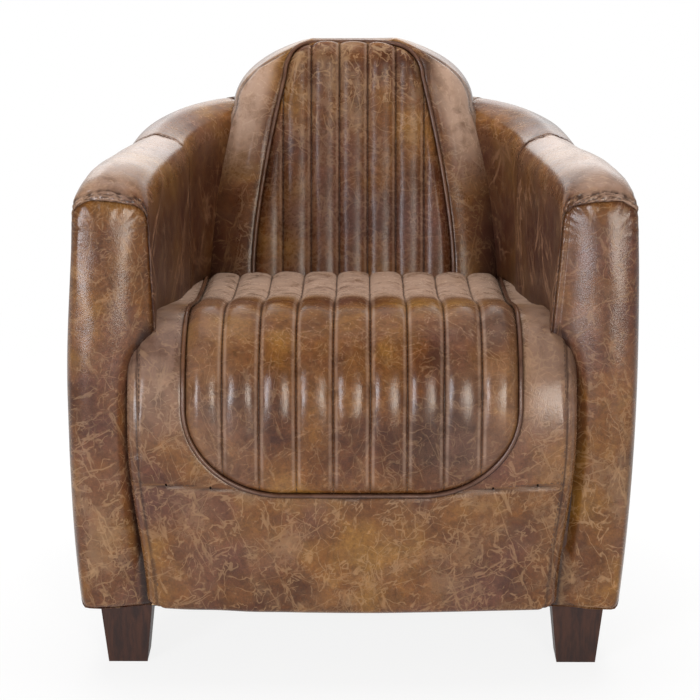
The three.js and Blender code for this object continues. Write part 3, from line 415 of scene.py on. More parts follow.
def grid_normals(grid, around=False):
    along = np.gradient(grid, axis=0)
    if around:
        across = np.roll(grid, -1, axis=1) - np.roll(grid, 1, axis=1)
    else:
        across = np.gradient(grid, axis=1)
    normal = np.cross(along, across)
    return normal / np.maximum(np.linalg.norm(normal, axis=-1, keepdims=True), 1e-9)


def grid_faces(rows, columns, around=False, flip=False):
    index = np.arange(rows * columns).reshape(rows, columns)
    right = np.roll(index, -1, axis=1) if around else index[:, 1:]
    left = index if around else index[:, :-1]
    quads = np.stack([left[:-1], right[:-1], right[1:], left[1:]], axis=-1).reshape(-1, 4)
    return quads[:, ::-1] if flip else quads


def make_piece(name, points, faces, stored_numbers=None, material=leather):
    mesh = bpy.data.meshes.new(name)
    spots = (np.asarray(points).reshape(-1, 3) * MM).tolist()
    mesh.from_pydata(spots, [], [list(map(int, f)) for f in faces])
    for title in ("panel", "crease_and_shade", "wear_and_sheen", "streak", "pale", "shade"):
        values = (stored_numbers or {}).get(title, 0.0)
        layer = mesh.attributes.new(title, "FLOAT", "POINT")
        every = np.broadcast_to(values, (len(mesh.vertices),)).astype(np.float32).ravel()
        layer.data.foreach_set("value", every)
    mesh.materials.append(material)
    mesh.polygons.foreach_set("use_smooth", [True] * len(mesh.polygons))
    mesh.update()
    piece = bpy.data.objects.new(name, mesh)
    scene.collection.objects.link(piece)
    return piece


print("grid helpers are ready")

# %% [markdown]
# Every seam on this chair shows its thread: short dark stitches that sink a little into the leather. They
# are small closed capsules laid along a line of points, so they catch the light as real thread does.

# %% Stitches
stitch_lines = []


def stitch_along(line, lift, length=4.6, gap=2.6, radius=0.5):
    """Keeps a row of stitches for later. lift is the direction away from the leather at each point."""
    line = np.asarray(line, float)
    run = np.concatenate([[0], np.cumsum(np.linalg.norm(np.diff(line, axis=0), axis=1))])
    count = int(run[-1] // (length + gap))
    if count < 1:
        return
    starts = (np.arange(count) + 0.5) * run[-1] / count - length / 2
    pick = lambda at, values: np.stack([np.interp(at, run, values[:, k]) for k in range(3)], axis=1)
    lift = np.broadcast_to(np.asarray(lift, float), line.shape)
    middle = pick(starts + length / 2, lift)
    stitch_lines.append((pick(starts, line), pick(starts + length, line), middle, radius))


def build_stitches(name):
    sides, along = 6, np.array([0.0, 0.12, 0.5, 0.88, 1.0])
    width = np.array([0.35, 0.9, 1.0, 0.9, 0.35])
    sink = np.array([-0.9, -0.15, 0.1, -0.15, -0.9])
    angle = np.linspace(0, 2 * math.pi, sides, endpoint=False)
    points, faces = [], []
    ring = grid_faces(len(along), sides, around=True)
    caps = [list(range(sides))[::-1], [(len(along) - 1) * sides + i for i in range(sides)]]
    total = 0
    for start, end, lift, radius in stitch_lines:
        forward = end - start
        forward /= np.linalg.norm(forward, axis=1, keepdims=True)
        up = lift - (lift * forward).sum(axis=1, keepdims=True) * forward
        up /= np.linalg.norm(up, axis=1, keepdims=True)
        side = np.cross(forward, up)
        middle = start[:, None] + (end - start)[:, None] * along[None, :, None]
        middle = middle + up[:, None] * (sink * radius)[None, :, None]
        round_ = (np.cos(angle)[None, None, :, None] * side[:, None, None]
                  + np.sin(angle)[None, None, :, None] * up[:, None, None])
        capsules = middle[:, :, None] + round_ * (radius * width)[None, :, None, None]
        for capsule in capsules:
            points.append(capsule.reshape(-1, 3))
            faces += [[int(v) + total for v in f] for f in ring]
            faces += [[v + total for v in cap] for cap in caps]
            total += len(along) * sides
    return make_piece(name, np.concatenate(points), faces, {}, thread)


print("stitch helpers are ready")

# %% [markdown]
# The tub is one padded wall that runs from arm to arm round the back. On the real chair, leather is pulled
# over foam and sewn where the straight arm meets the rounded back. Its section is a closed loop: up the
# outside, over the top, down the inside and back underneath. Sweeping that loop along the plan gives the
# true form, and the wrinkles are added on top.

# %% Sizes of the tub in millimetres
TUB_WIDTH, TUB_DEPTH, STRAIGHT_ARM, ARM_TAPER, WALL = 760.0, 740.0, 370.0, 37.0, 104.0
ARM_TOP, TUB_BACK_TOP, RISE_END = 655.0, 694.0, 720.0
WIDEST_HEIGHT, BASE_TUCK, TOP_TUCK = 420.0, 17.0, 6.0
UNDERSIDE = 85.4
SEAT_REACH = 55.0
ARM_FRONT = -(TUB_DEPTH - SEAT_REACH) / 2
BARREL_START = ARM_FRONT + STRAIGHT_ARM
BARREL_A = TUB_WIDTH / 2 - ARM_TAPER
BARREL_B = TUB_DEPTH - STRAIGHT_ARM
FRONT_SEAM_Y = ARM_FRONT + 12.0
ARM_CROWN = 22.0
print("arm front at", ARM_FRONT, "and shoulder seam at", BARREL_START)


def wall_top(y):
    """The wall rises from the arms to the back, and the padded arm swells a little on the way."""
    y = np.asarray(y, float)
    t = np.clip((y - FRONT_SEAM_Y) / (BARREL_START - FRONT_SEAM_Y), 0, 1)
    swell = t**0.45 * (1 - t) ** 1.4 / 0.358
    rise = (TUB_BACK_TOP - ARM_TOP) * step_between(y, ARM_FRONT, ARM_FRONT + RISE_END)
    return ARM_TOP + rise + ARM_CROWN * swell


def outer_tuck(z, top):
    below = BASE_TUCK * ((WIDEST_HEIGHT - z) / (WIDEST_HEIGHT - UNDERSIDE)) ** 2
    above = TOP_TUCK * ((z - WIDEST_HEIGHT) / (top - WIDEST_HEIGHT)) ** 2
    return np.where(z < WIDEST_HEIGHT, below, above)


def arc(cx, cz, radius, start, end, count=14):
    a = np.radians(np.linspace(start, end, count))
    return np.stack([cx + radius * np.cos(a), cz + radius * np.sin(a)], axis=1)


def resample(points, count, weight=None, closed=False):
    """Spreads count points along a line of points. weight packs them closer where it is high."""
    line = np.vstack([points, points[:1]]) if closed else points
    step = np.linalg.norm(np.diff(line, axis=0), axis=1)
    if weight is not None:
        w = np.append(weight, weight[0]) if closed else weight
        step = step * (w[1:] + w[:-1]) / 2
    run = np.concatenate([[0], np.cumsum(step)])
    at = np.linspace(0, run[-1], count + 1)[:-1] if closed else np.linspace(0, run[-1], count)
    return np.stack([np.interp(at, run, line[:, k]) for k in range(line.shape[1])], axis=1)


def soften(points, passes):
    for _ in range(passes):
        points = points * 0.5 + (np.roll(points, 1, axis=0) + np.roll(points, -1, axis=0)) * 0.25
    return points


LOOP_POINTS = 280


def wall_loop(top, count=LOOP_POINTS, outer=(25.0, 5.0), inner=(34.0, 7.0), tuck=0.0):
    """The closed section of the wall as [depth into the wall, height], and its inward directions.
    outer and inner give the radius of each top corner and how far the corner ends below the top."""
    base = UNDERSIDE - 0.6
    outer_turn, inner_turn = top - sum(outer), top - sum(inner)
    outer_z = np.linspace(base + 9, outer_turn, 60)
    high = np.clip((outer_z - WIDEST_HEIGHT) / (top - WIDEST_HEIGHT), 0, None)
    wall = np.stack([outer_tuck(outer_z, top) + tuck * high**2, outer_z], axis=1)
    shoulder = arc(wall[-1, 0] + outer[0], outer_turn, outer[0], 180, 100)
    crown = np.array([[shoulder[-1, 0] + 12, top - 0.2], [62.0, top - 2.4]])
    inner_corner = arc(WALL - inner[0], inner_turn, inner[0], 78, 0)
    inner_wall = np.array([[WALL, z] for z in np.linspace(inner_turn - 2, base + 9, 60)])
    under = np.vstack([arc(WALL - 9, base + 9, 9, 0, -90, 8), arc(wall[0, 0] + 9, base + 9, 9, 270, 180, 8)])
    loop = np.vstack([wall, shoulder, crown, inner_corner, inner_wall, under])
    loop = soften(resample(loop, 900, closed=True), 30)
    lowest = np.argmin(np.hypot(loop[:, 0] - wall[0, 0] - 2, loop[:, 1] - base - 2))
    loop = np.roll(loop, -int(lowest), axis=0)
    loop = resample(loop, count, weight=1 + 1.2 * step_between(loop[:, 1], top - 90, top - 60), closed=True)
    tangent = np.roll(loop, -1, axis=0) - np.roll(loop, 1, axis=0)
    tangent /= np.linalg.norm(tangent, axis=1, keepdims=True)
    return loop, np.stack([tangent[:, 1], -tangent[:, 0]], axis=1)


def arm_station(y):
    return np.array([-TUB_WIDTH / 2 + ARM_TAPER * (y - ARM_FRONT) / STRAIGHT_ARM, y]), np.array([1.0, 0.0])


def barrel_station(angle):
    a = math.radians(angle)
    inward = np.array([-BARREL_B * math.cos(a), -BARREL_A * math.sin(a)])
    spot = np.array([BARREL_A * math.cos(a), BARREL_START + BARREL_B * math.sin(a)])
    return spot, inward / np.linalg.norm(inward)


def shoulder_round(y):
    """How round the outer top corner is. It grows along the arm and fades out round the back."""
    return np.clip((y - ARM_FRONT - 110) / 260, 0, 1) ** 1.5 * (1 - step_between(y, 60, 300))


def sweep_wall(stations, insets):
    """One closed loop of points for each station, shrunk by the inset that goes with it."""
    rings = []
    for (spot, inward), inset in zip(stations, insets):
        rounder = float(shoulder_round(spot[1]))
        loop, into = wall_loop(wall_top(spot[1]), outer=(25.0 + 14.0 * rounder, 5.0), tuck=12.0 * rounder)
        loop = loop + into * inset
        rings.append(np.stack([
            spot[0] + inward[0] * loop[:, 0], spot[1] + inward[1] * loop[:, 0], loop[:, 1]], axis=1))
    return np.array(rings)


SEAM_ROUND = 3.4
seam_steps = np.array([0.0, 0.5, 1.3, 2.4, 3.8, 5.4, 7.2, 9.5, 12.5])


def seam_inset(distance):
    t = np.clip(1 - distance / SEAM_ROUND, 0, 1)
    return SEAM_ROUND * (1 - np.sqrt(1 - t * t))


def closed_tube(name, grid, numbers, flip=False):
    """A swept tube of rings, closed at both ends."""
    rows, columns = grid.shape[:2]
    faces = [list(f) for f in grid_faces(rows, columns, around=True, flip=flip)]
    first = list(range(columns))
    last = [(rows - 1) * columns + i for i in range(columns)]
    faces += [first[::-1] if not flip else first, last if not flip else last[::-1]]
    return make_piece(name, grid, faces, numbers)


# %% [markdown]
# Leather that turns a corner at a seam gathers into small pleats. Each pleat is a shallow wave that is
# strongest at the stitches and fades within two or three centimetres. The pleats here come from noise that
# is stretched away from the seam, so no two are alike.

# %% Arms
PLEAT_REACH = 17.0
FRONT_RISE, FRONT_CURVE, CREST = 27.0, 84.0, 42.0
SEAM_DROP, SEAM_INSET = 9.0, 0.7


def pleats(along, away, seed, width=7.0, depth=0.9, reach=PLEAT_REACH):
    """Waves that run away from a seam. along is the distance along it and away the distance from it."""
    spot = np.stack([along / width, away / 40.0, np.full_like(along, seed * 3.7)], axis=-1)
    wave = soft_noise(spot, 1.0, seed, 2)
    return depth * wave * np.exp(-np.clip(away, 0, None) / reach)


def loop_run(grid):
    step = np.linalg.norm(np.diff(grid, axis=1, prepend=grid[:, :1]), axis=-1)
    return np.cumsum(step, axis=1)


def front_reach(n, z, crest=CREST):
    """How far the padded arm end stands forward at a place in the wall's section."""
    bulge = FRONT_RISE - FRONT_CURVE + np.sqrt(FRONT_CURVE**2 - np.clip(n - crest, -70, 72) ** 2)
    outer = np.clip(1 - (n - outer_tuck(z, ARM_TOP)) / 11.0, 0, 1)
    top = np.clip(1 - (ARM_TOP - z) / 40.0, 0, 1)
    low = np.clip(1 - (z - UNDERSIDE + 0.6) / 15.0, 0, 1)
    lean = 17.0 * np.clip(1 - (ARM_TOP - z) / 270.0, 0, 1) ** 1.6
    rounded = np.sqrt(np.clip(1 - outer**2 - top**2.4, 0, 1))
    reach = (bulge - lean * np.clip(bulge / FRONT_RISE, 0, 1)) * rounded
    foot = 15.0 * (1 - step_between(z, 135, 260)) * np.sqrt(1 - outer**2)
    return np.maximum(np.clip(reach, 0, None), foot) - 5.0 * (1 - np.sqrt(1 - 0.98 * low**2))


def front_seam_loop(count=LOOP_POINTS, inset=0.0):
    """The line of the front seam. It leaves the outer edge just where the arm starts to round over."""
    loop, into = wall_loop(ARM_TOP - SEAM_DROP, count, outer=(12.0, 8.0), inner=(22.0, 7.0))
    return loop + into * (SEAM_INSET + inset), into


def foot_flare(n, z, y=FRONT_SEAM_Y):
    """The padded arm end is wider at its foot, where it swells in behind the seat."""
    low = (1 - step_between(z, 400, 640)) * step_between(n, 50, WALL)
    return 14.0 * low * (1 - step_between(y, FRONT_SEAM_Y, FRONT_SEAM_Y + 90))


def hand_made(side, z, y=FRONT_SEAM_Y):
    """The left arm leans in a little at its top and out at its foot, as the real one does."""
    lean = 8.0 * step_between(z, 380, 620) - 5.5 * (1 - step_between(z, 90, 420))
    return np.where(side < 0, lean, 0.0) * (1 - step_between(y, ARM_FRONT + 60, BARREL_START - 20))


def seat_edge(z):
    """Half the width of the seat's outline in front of the arms, at each height."""
    return 297.5 - 12.0 * np.clip((z - 395) / 58, 0, None) ** 2 - 20.0 * (1 - step_between(z, 85, 330))


def seam_seen(n, z):
    """The seam shows on the top and the inner side, and hides round the corner on the outer side."""
    return 1 - (1 - step_between(n, 8, 20)) * (1 - step_between(z, ARM_TOP - 36, ARM_TOP - 22))


def build_arm(side):
    loop, into = wall_loop(ARM_TOP)
    seam, seam_into = front_seam_loop()
    rings = []
    for share in (1.0, 0.93, 0.8, 0.62, 0.44, 0.28, 0.15, 0.06, 0.015):
        at = loop * (1 - share) + seam * share
        crest = CREST - (9 if side > 0 else 0)
        past = 2.2 if share == 1.0 else 0.5 if share > 0.9 else 0
        y = FRONT_SEAM_Y - front_reach(at[:, 0], at[:, 1], crest) + past
        x = np.array([arm_station(v)[0][0] for v in y]) + at[:, 0]
        x = x + (0 if share < 1 else seam_into[:, 0] * 1.2)
        rings.append(np.stack([x, y, at[:, 1] + (0 if share < 1 else seam_into[:, 1] * 1.2)], axis=1))
    body_y = np.concatenate([FRONT_SEAM_Y + np.arange(0, 19, 1.1),
                             np.linspace(FRONT_SEAM_Y + 21, BARREL_START - 16, 76)])
    rear_y = BARREL_START - 0.3 - seam_steps[::-1]
    y = np.concatenate([body_y, rear_y])
    rear = seam_inset(BARREL_START - 0.3 - rear_y)
    inset = np.concatenate([np.zeros(len(body_y)), rear])
    grid = np.concatenate([np.array(rings), sweep_wall([arm_station(v) for v in y], inset)])
    grid[..., 0] += foot_flare(grid[..., 0] + TUB_WIDTH / 2, grid[..., 2], grid[..., 1])
    grid[..., 0] += hand_made(side, grid[..., 2], grid[..., 1])
    first = len(rings)
    normal = -grid_normals(grid, around=True)
    run = loop_run(grid)
    seed = 11 if side < 0 else 29
    z = grid[..., 2]
    depth = grid[..., 0] - np.array([[arm_station(v)[0][0]] for v in grid[:, 0, 1]])
    tops = wall_top(grid[..., 1])
    on_top = step_between(z, tops - 60, tops - 12)
    upper = step_between(z, tops - 110, tops - 20)
    seen = seam_seen(depth, z)
    from_seam = np.cumsum(np.linalg.norm(np.diff(grid, axis=0, prepend=grid[:1]), axis=-1), axis=0)
    away_rear = BARREL_START - grid[..., 1]
    lift = 1.1 * soft_noise(grid, (80, 70, 110), seed, 2)
    lift += pleats(run, from_seam, seed + 3, 5.5, 3.0, 15.0) * (0.2 + 0.8 * on_top) * seen
    lift += pleats(run, from_seam, seed + 8, 13.0, 1.6, 30.0) * on_top * seen
    lift += pleats(run, away_rear, seed + 5, 7.0, 0.8) * (0.15 + 0.85 * on_top)
    second = 17.0 * on_top + 9.0 * (1 - on_top)
    band = seen * (0.25 + 0.75 * on_top) * (1 - step_between(from_seam, second - 1, second + 2))
    crush_spot = np.stack([run / 6, from_seam / 1.8, np.full_like(run, seed)], axis=-1)
    crush = soft_noise(crush_spot, 1.0, seed + 9, 2)
    lift += 1.1 * crush * band
    lift -= 1.2 * np.exp(-(((from_seam - second) / 1.6) ** 2)) * seen
    lift -= 0.5 * np.exp(-(((away_rear - 7.2) / 1.5) ** 2))
    keep = np.ones(len(grid))
    keep[:2] = 0
    keep[-3:] = 0
    grid = grid + normal * (lift * keep[:, None])[..., None]
    row_y = np.concatenate([np.zeros(first), y])
    crease_and_shade = np.broadcast_to(np.exp(-((BARREL_START - row_y) / 2.4) ** 2)[:, None], z.shape)
    crease_and_shade = crease_and_shade * (np.arange(len(grid)) >= first)[:, None]
    crease_and_shade = crease_and_shade + 0.75 * np.exp(-((from_seam / 1.4) ** 2)) * seen * (0.5 + 0.5 * on_top)
    # Dark stitch line, and painted shade in the sunken hollows of the crushed band.
    crease_and_shade += (0.7 * np.exp(-(((from_seam - second) / 1.1) ** 2)) * seen
               + 0.7 * band * step_between(-crush, 0.05, 0.35))
    inner = step_between(depth, 66, 102)
    streak = inner * step_between(z, 280, 420) * (1 - 0.6 * on_top)
    shade = inner * 0.85 * (1 - upper)
    # The arm tops get rub: paler from wear and a painted sheen. The inner wall gets painted shade.
    numbers = {"panel": 1.0 if side < 0 else 2.0, "crease_and_shade": np.clip(crease_and_shade, 0, 1).ravel(),
               "streak": streak.ravel(),
               "shade": shade.ravel(), "pale": 0.25, "wear_and_sheen": (0.55 * on_top * (1 - inner)).ravel()}
    if side > 0:
        grid = grid * np.array([-1, 1, 1])
    tag = "left" if side < 0 else "right"
    piece = closed_tube(f"arm_cover_{tag}_leather", grid, numbers, flip=side > 0)
    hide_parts(f"arm_cover_{tag}", f"arm_foam_{tag}")
    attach(piece, "root")
    lifted = normal * np.array([-1 if side > 0 else 1, 1, 1])
    over_top = np.where((z[first] > ARM_TOP - 40) & (loop[:, 0] > 2))[0]
    near = [int(np.argmin(np.abs(from_seam[:, c] - second[first, c] + 2.6))) for c in over_top]
    at_back = np.where((z[first] > 120) & (loop[:, 0] > 20))[0]
    for columns, rows in ((over_top, near), (at_back, [3] * len(at_back))):
        stitch_along(grid[rows, columns], lifted[rows, columns])
    return piece


for side in (-1, 1):
    arm = build_arm(side)
    print(arm.name, len(arm.data.polygons), "faces")

# %% Wings and outside back
REAR_SEAM = 130.0


def barrel_run(angles):
    spots = np.array([barrel_station(a)[0] for a in angles])
    return np.concatenate([[0], np.cumsum(np.linalg.norm(np.diff(spots, axis=0), axis=1))])


def build_barrel(name, start, end, rows, panel, seed, nodes, streak_amount, stitched_ends):
    dense = np.linspace(start, end, 721)
    run = barrel_run(dense)
    total = run[-1]
    edge = seam_steps + 0.3
    at = np.concatenate([edge, np.linspace(edge[-1], total - edge[-1], rows)[1:-1], total - edge[::-1]])
    angles = np.interp(at, run, dense)
    inset = np.maximum(seam_inset(at - 0.3), seam_inset(total - at - 0.3))
    stations = [barrel_station(a) for a in angles]
    grid = sweep_wall(stations, inset)
    normal = -grid_normals(grid, around=True)
    z = grid[..., 2]
    tops = np.array([wall_top(spot[1]) for spot, _ in stations])[:, None]
    on_top = step_between(z, tops - 80, tops - 20)
    along = loop_run(grid)
    from_start = np.broadcast_to(at[:, None], z.shape)
    lift = 1.0 * soft_noise(grid, (100, 100, 130), seed, 2)
    lift += pleats(along, from_start, seed + 2, 9.0, 0.9) * (0.15 + 0.85 * on_top)
    lift += pleats(along, total - from_start, seed + 4, 9.0, 0.9) * (0.15 + 0.85 * on_top)
    for line in (7.2, total - 7.2):
        lift -= 0.5 * np.exp(-(((from_start - line) / 1.5) ** 2))
    keep = np.ones(len(at))
    keep[:3] = 0
    keep[-3:] = 0
    grid = grid + normal * (lift * keep[:, None])[..., None]
    crease_and_shade = np.exp(-((at / 2.6) ** 2)) + np.exp(-(((total - at) / 2.6) ** 2))
    crease_and_shade = np.broadcast_to(crease_and_shade[:, None], z.shape)
    depth = wall_depth(grid, stations)
    streak = streak_amount * step_between(depth, 80, 100) * step_between(z, 300, 420)
    shade = 0.62 * step_between(depth, 78, 98) * (1 - on_top)
    numbers = {"panel": panel, "crease_and_shade": crease_and_shade.ravel(), "streak": streak.ravel(), "pale": 0.15,
               "shade": shade.ravel()}
    piece = closed_tube(name, grid, numbers)
    columns = np.where(z[0] > 120)[0]
    for at_end in stitched_ends:
        row = int(np.argmin(np.abs(at - 7.2))) if at_end == 0 else int(np.argmin(np.abs(total - at - 7.2)))
        stitch_along(grid[row, columns], normal[row, columns])
    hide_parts(*nodes)
    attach(piece, "root")
    return piece


def wall_depth(grid, stations):
    """How far into the wall each point of a swept grid lies."""
    spot = np.array([s for s, _ in stations])[:, None]
    inward = np.array([i for _, i in stations])[:, None]
    return ((grid[..., :2] - spot) * inward).sum(axis=-1)


barrel_pieces = [
    build_barrel("wing_cover_left_leather", 180.0, REAR_SEAM, 70, 3.0, 41,
                 ["wing_cover_left", "tub_back_foam"], 0.6, (0,)),
    build_barrel("wing_cover_right_leather", 180.0 - REAR_SEAM, 0.0, 70, 4.0, 53,
                 ["wing_cover_right"], 0.6, (1,)),
    build_barrel("outside_back_leather", REAR_SEAM, 180.0 - REAR_SEAM, 92, 5.0, 67,
                 ["outside_back_cover"], 0.0, (0, 1)),
]
for piece in barrel_pieces:
    print(piece.name, len(piece.data.polygons), "faces")

# %% [markdown]
# The front of each arm is closed by a padded panel, sewn in all round. It is a flat shape with four smooth
# sides, so a grid stretched between those sides fills it evenly. The height rises fast from the seam and
# then stays nearly level, as leather does over a thin layer of foam.

# %% Arm fronts
def four_sided_patch(left, right, bottom, top):
    """Fills the space between four lines that share their corners."""
    v = np.linspace(0, 1, len(left))[:, None, None]
    u = np.linspace(0, 1, len(bottom))[None, :, None]
    sides = (1 - u) * left[:, None] + u * right[:, None]
    ends = (1 - v) * bottom[None] + v * top[None]
    corners = ((1 - u) * (1 - v) * bottom[0] + u * (1 - v) * bottom[-1]
               + (1 - u) * v * top[0] + u * v * top[-1])
    return sides + ends - corners


def distance_to_line(points, line):
    """The shortest distance from each point to a line of points."""
    flat = points.reshape(-1, points.shape[-1])
    best = np.full(len(flat), 1e9)
    for a, b in zip(line[:-1], line[1:]):
        ab = b - a
        t = np.clip(((flat - a) @ ab) / max(ab @ ab, 1e-9), 0, 1)
        best = np.minimum(best, np.linalg.norm(flat - (a + t[:, None] * ab), axis=1))
    return best.reshape(points.shape[:-1])


def build_arm_front(side):
    loop, _ = front_seam_loop(700, inset=0.45)

    def corner(n, z):
        return int(np.argmin(np.hypot(loop[:, 0] - n, loop[:, 1] - z)))

    def stretch(a, b):
        return loop[a:b + 1] if a < b else np.vstack([loop[a:], loop[:b + 1]])

    low_out, high_out = corner(20, UNDERSIDE), corner(8, ARM_TOP - SEAM_DROP - 10)
    high_in, low_in = corner(WALL - 8, ARM_TOP - SEAM_DROP - 16), corner(WALL - 4, UNDERSIDE)
    up = np.concatenate([np.linspace(0, 0.9, 150)[:-1], np.linspace(0.9, 1, 50)])
    left = resample(stretch(low_out, high_out), 400)[np.round(up * 399).astype(int)]
    right = resample(stretch(high_in, low_in), 400)[::-1][np.round(up * 399).astype(int)]
    across = 0.5 - 0.5 * np.cos(np.linspace(0, math.pi, 53))
    top = resample(stretch(high_out, high_in), 300)[np.round(across * 299).astype(int)]
    bottom = resample(stretch(low_in, low_out), 300)[::-1][np.round(across * 299).astype(int)]
    flat = four_sided_patch(left, right, bottom, top)
    edge = distance_to_line(flat, np.vstack([loop, loop[:1]])[::3])
    seed = 71 if side < 0 else 83
    spot = np.concatenate([flat, np.zeros(flat.shape[:-1] + (1,))], axis=-1)
    on_top = step_between(flat[..., 1], ARM_TOP - 90, ARM_TOP - 25)
    puff = front_reach(flat[..., 0], flat[..., 1], CREST - (9 if side > 0 else 0))
    puff += 1.1 * soft_noise(spot, (46, 95, 50), seed, 2) * step_between(edge, 2, 16)
    seen = seam_seen(flat[..., 0], flat[..., 1])
    puff += 1.2 * (1 - np.exp(-edge / 9)) - 2.4 * np.exp(-edge / 1.5) * seen
    turn = np.arctan2(flat[..., 1] - 590, flat[..., 0] - WALL / 2)
    gather = soft_noise(np.stack([turn * 11, edge / 30, np.full_like(edge, seed)], axis=-1), 1.0, seed + 1, 2)
    puff += 1.7 * gather * np.exp(-edge / 9) * on_top
    reach = TUB_WIDTH / 2 - flat[..., 0] - foot_flare(flat[..., 0], flat[..., 1])
    beside = np.clip(reach - seat_edge(flat[..., 1]), 0, None)
    # A painted shadow darkens the arm front in the gap beside the seat.
    shadow_beside_seat = np.exp(-((beside / 4.0) ** 2)) * (1 - step_between(flat[..., 1], 462, 488))
    puff -= (5.0 * np.exp(-((beside / 9.0) ** 2)) * (1 - step_between(flat[..., 1], 430, 480))
             * step_between(flat[..., 1], 130, 220) * step_between(edge, 0, 8))
    x = side * (reach - hand_made(side, flat[..., 1]))
    grid = np.stack([x, FRONT_SEAM_Y - puff, flat[..., 1]], axis=-1)
    crease_and_shade = np.maximum(0.85 * np.exp(-edge / 1.0) * seen * (0.45 + 0.55 * on_top), shadow_beside_seat)
    rows, columns = grid.shape[:2]
    back = grid.copy()
    back[..., 1] = grid[..., 1] + 1.5
    points = np.concatenate([grid.reshape(-1, 3), back.reshape(-1, 3)])
    front_faces = grid_faces(rows, columns, flip=side < 0)
    back_faces = grid_faces(rows, columns, flip=side > 0) + rows * columns
    index = np.arange(rows * columns).reshape(rows, columns)
    rim = np.concatenate([index[0], index[1:, -1], index[-1, -2::-1], index[-2:0:-1, 0]])
    after = np.roll(rim, -1)
    rim_faces = np.stack([rim, after, after + rows * columns, rim + rows * columns], axis=1)
    if side > 0:
        rim_faces = rim_faces[:, ::-1]
    faces = np.concatenate([front_faces, back_faces, rim_faces])
    tag = "left" if side < 0 else "right"
    pale = 0.3 + 0.6 * (1 - step_between(flat[..., 1], 180, 420))
    numbers = {"panel": 6.0 if side < 0 else 7.0, "pale": np.concatenate([pale.ravel()] * 2),
               "crease_and_shade": np.concatenate([crease_and_shade.ravel()] * 2)}
    piece = make_piece(f"arm_front_{tag}_leather", points, faces, numbers)
    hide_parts(f"arm_front_{tag}")
    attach(piece, "root")
    return piece


for side in (-1, 1):
    front = build_arm_front(side)
    print(front.name, len(front.data.polygons), "faces")

# %% [markdown]
# The seat is one upholstered block with a rolled front edge. Everything on it is measured over one base
# surface: how far across it is, and how far along its profile from the back over the roll to the lower
# edge. The channels, the piping and the seams are then heights over that surface, so they always fit.

# %% The seat's base surface
GAP, LEATHER = 0.4, 1.8
SKIN = GAP + LEATHER
SEAT_TOP, SEAT_HALF, SEAT_FOOT_HALF, SEAT_FOOT_START = 460.0, 297.5, 276.0, 330.0
ROLL_DEPTH, ROLL_HEIGHT, BACK_DROP, FACE_TUCK = 135.0, 125.0, 7.0, 6.0
ROLL_FULL, SEAT_DOME, DOME_Y = 0.74, 33.0, -285.0
TOP_CROWN, FACE_CROWN, TOP_EDGE, FACE_EDGE = 6.0, 5.0, 42.0, 20.0
SEAT_RISE, LIP = 9.0, 92.0
BACK_FACE_AT_SEAT, BACK_LEAN = 462.0, 15.0
BACK_RISE = 8.0
BACK_SLOPE = math.tan(math.radians(BACK_LEAN))
SEAT_FACE_Y = ARM_FRONT - SEAT_REACH + SEAT_RISE + SKIN


def back_face(z):
    return ARM_FRONT + BACK_FACE_AT_SEAT + (np.asarray(z, float) - SEAT_TOP) * BACK_SLOPE


def seat_profile_points():
    """The foam's profile as [y, z, normal y, normal z], from the back to the lower front edge."""
    top = SEAT_TOP - SEAT_RISE - SKIN
    roll_y, roll_z = SEAT_FACE_Y + ROLL_DEPTH, top - ROLL_HEIGHT
    back_y = float(back_face(top)) - 2
    t = np.linspace(0, 1, 200)[:-1]
    level = np.stack([back_y + (roll_y - back_y) * t, top - BACK_DROP * (1 - t) ** 2], axis=1)
    a = np.radians(np.linspace(90, 180, 240))
    roll = np.stack([roll_y - ROLL_DEPTH * np.abs(np.cos(a)) ** ROLL_FULL,
                     roll_z + ROLL_HEIGHT * np.sin(a) ** ROLL_FULL],
                    axis=1)
    t = np.linspace(0, 1, 200)[1:]
    face_z = roll_z + (LIP + 9 - roll_z) * t
    face = np.stack([SEAT_FACE_Y + FACE_TUCK * t * t, face_z], axis=1)
    a = np.radians(np.linspace(180, 275, 30)[1:])
    lip = np.stack([face[-1, 0] + 9 + 9 * np.cos(a), LIP + 9 + 9 * np.sin(a)], axis=1)
    under = np.stack([np.linspace(lip[-1, 0] + 2, ARM_FRONT + 2, 8), np.full(8, lip[-1, 1])], axis=1)
    line = np.vstack([level, roll, face, lip, under])
    dome = SEAT_DOME * np.exp(-(((line[:, 0] - DOME_Y) / 155) ** 2))
    line[:, 1] += dome * step_between(line[:, 1], 300, 430)
    line = resample(line, 900)
    tangent = np.gradient(line, axis=0)
    tangent /= np.linalg.norm(tangent, axis=1, keepdims=True)
    normal = np.stack([tangent[:, 1], -tangent[:, 0]], axis=1)
    return np.concatenate([line, normal], axis=1)


SEAT_PROFILE = seat_profile_points()
SEAT_RUN = np.concatenate([[0], np.cumsum(np.linalg.norm(np.diff(SEAT_PROFILE[:, :2], axis=0), axis=1))])
print("seat profile is", round(SEAT_RUN[-1]), "mm long, normal at the front", SEAT_PROFILE[500, 2:])


def seat_at(s):
    return np.stack([np.interp(s, SEAT_RUN, SEAT_PROFILE[:, k]) for k in range(4)], axis=-1)


def run_at_height(z):
    """The distance along the profile at a height on the seat's front."""
    front = SEAT_PROFILE[:, 1].argmax() + 150
    heights = SEAT_PROFILE[front:880, 1]
    return np.interp(-np.asarray(z, float), -heights, SEAT_RUN[front:880])


def seat_widths(z, normal_z):
    foot = 1 - step_between(z, LIP, SEAT_FOOT_START)
    half = SEAT_HALF - (SEAT_HALF - SEAT_FOOT_HALF) * foot
    half = half - 10 * (1 - np.sqrt(1 - np.clip((LIP + 16 - z) / 16, 0, 0.98) ** 2))
    return half, FACE_EDGE + (TOP_EDGE - FACE_EDGE) * np.clip(normal_z, 0, 1)


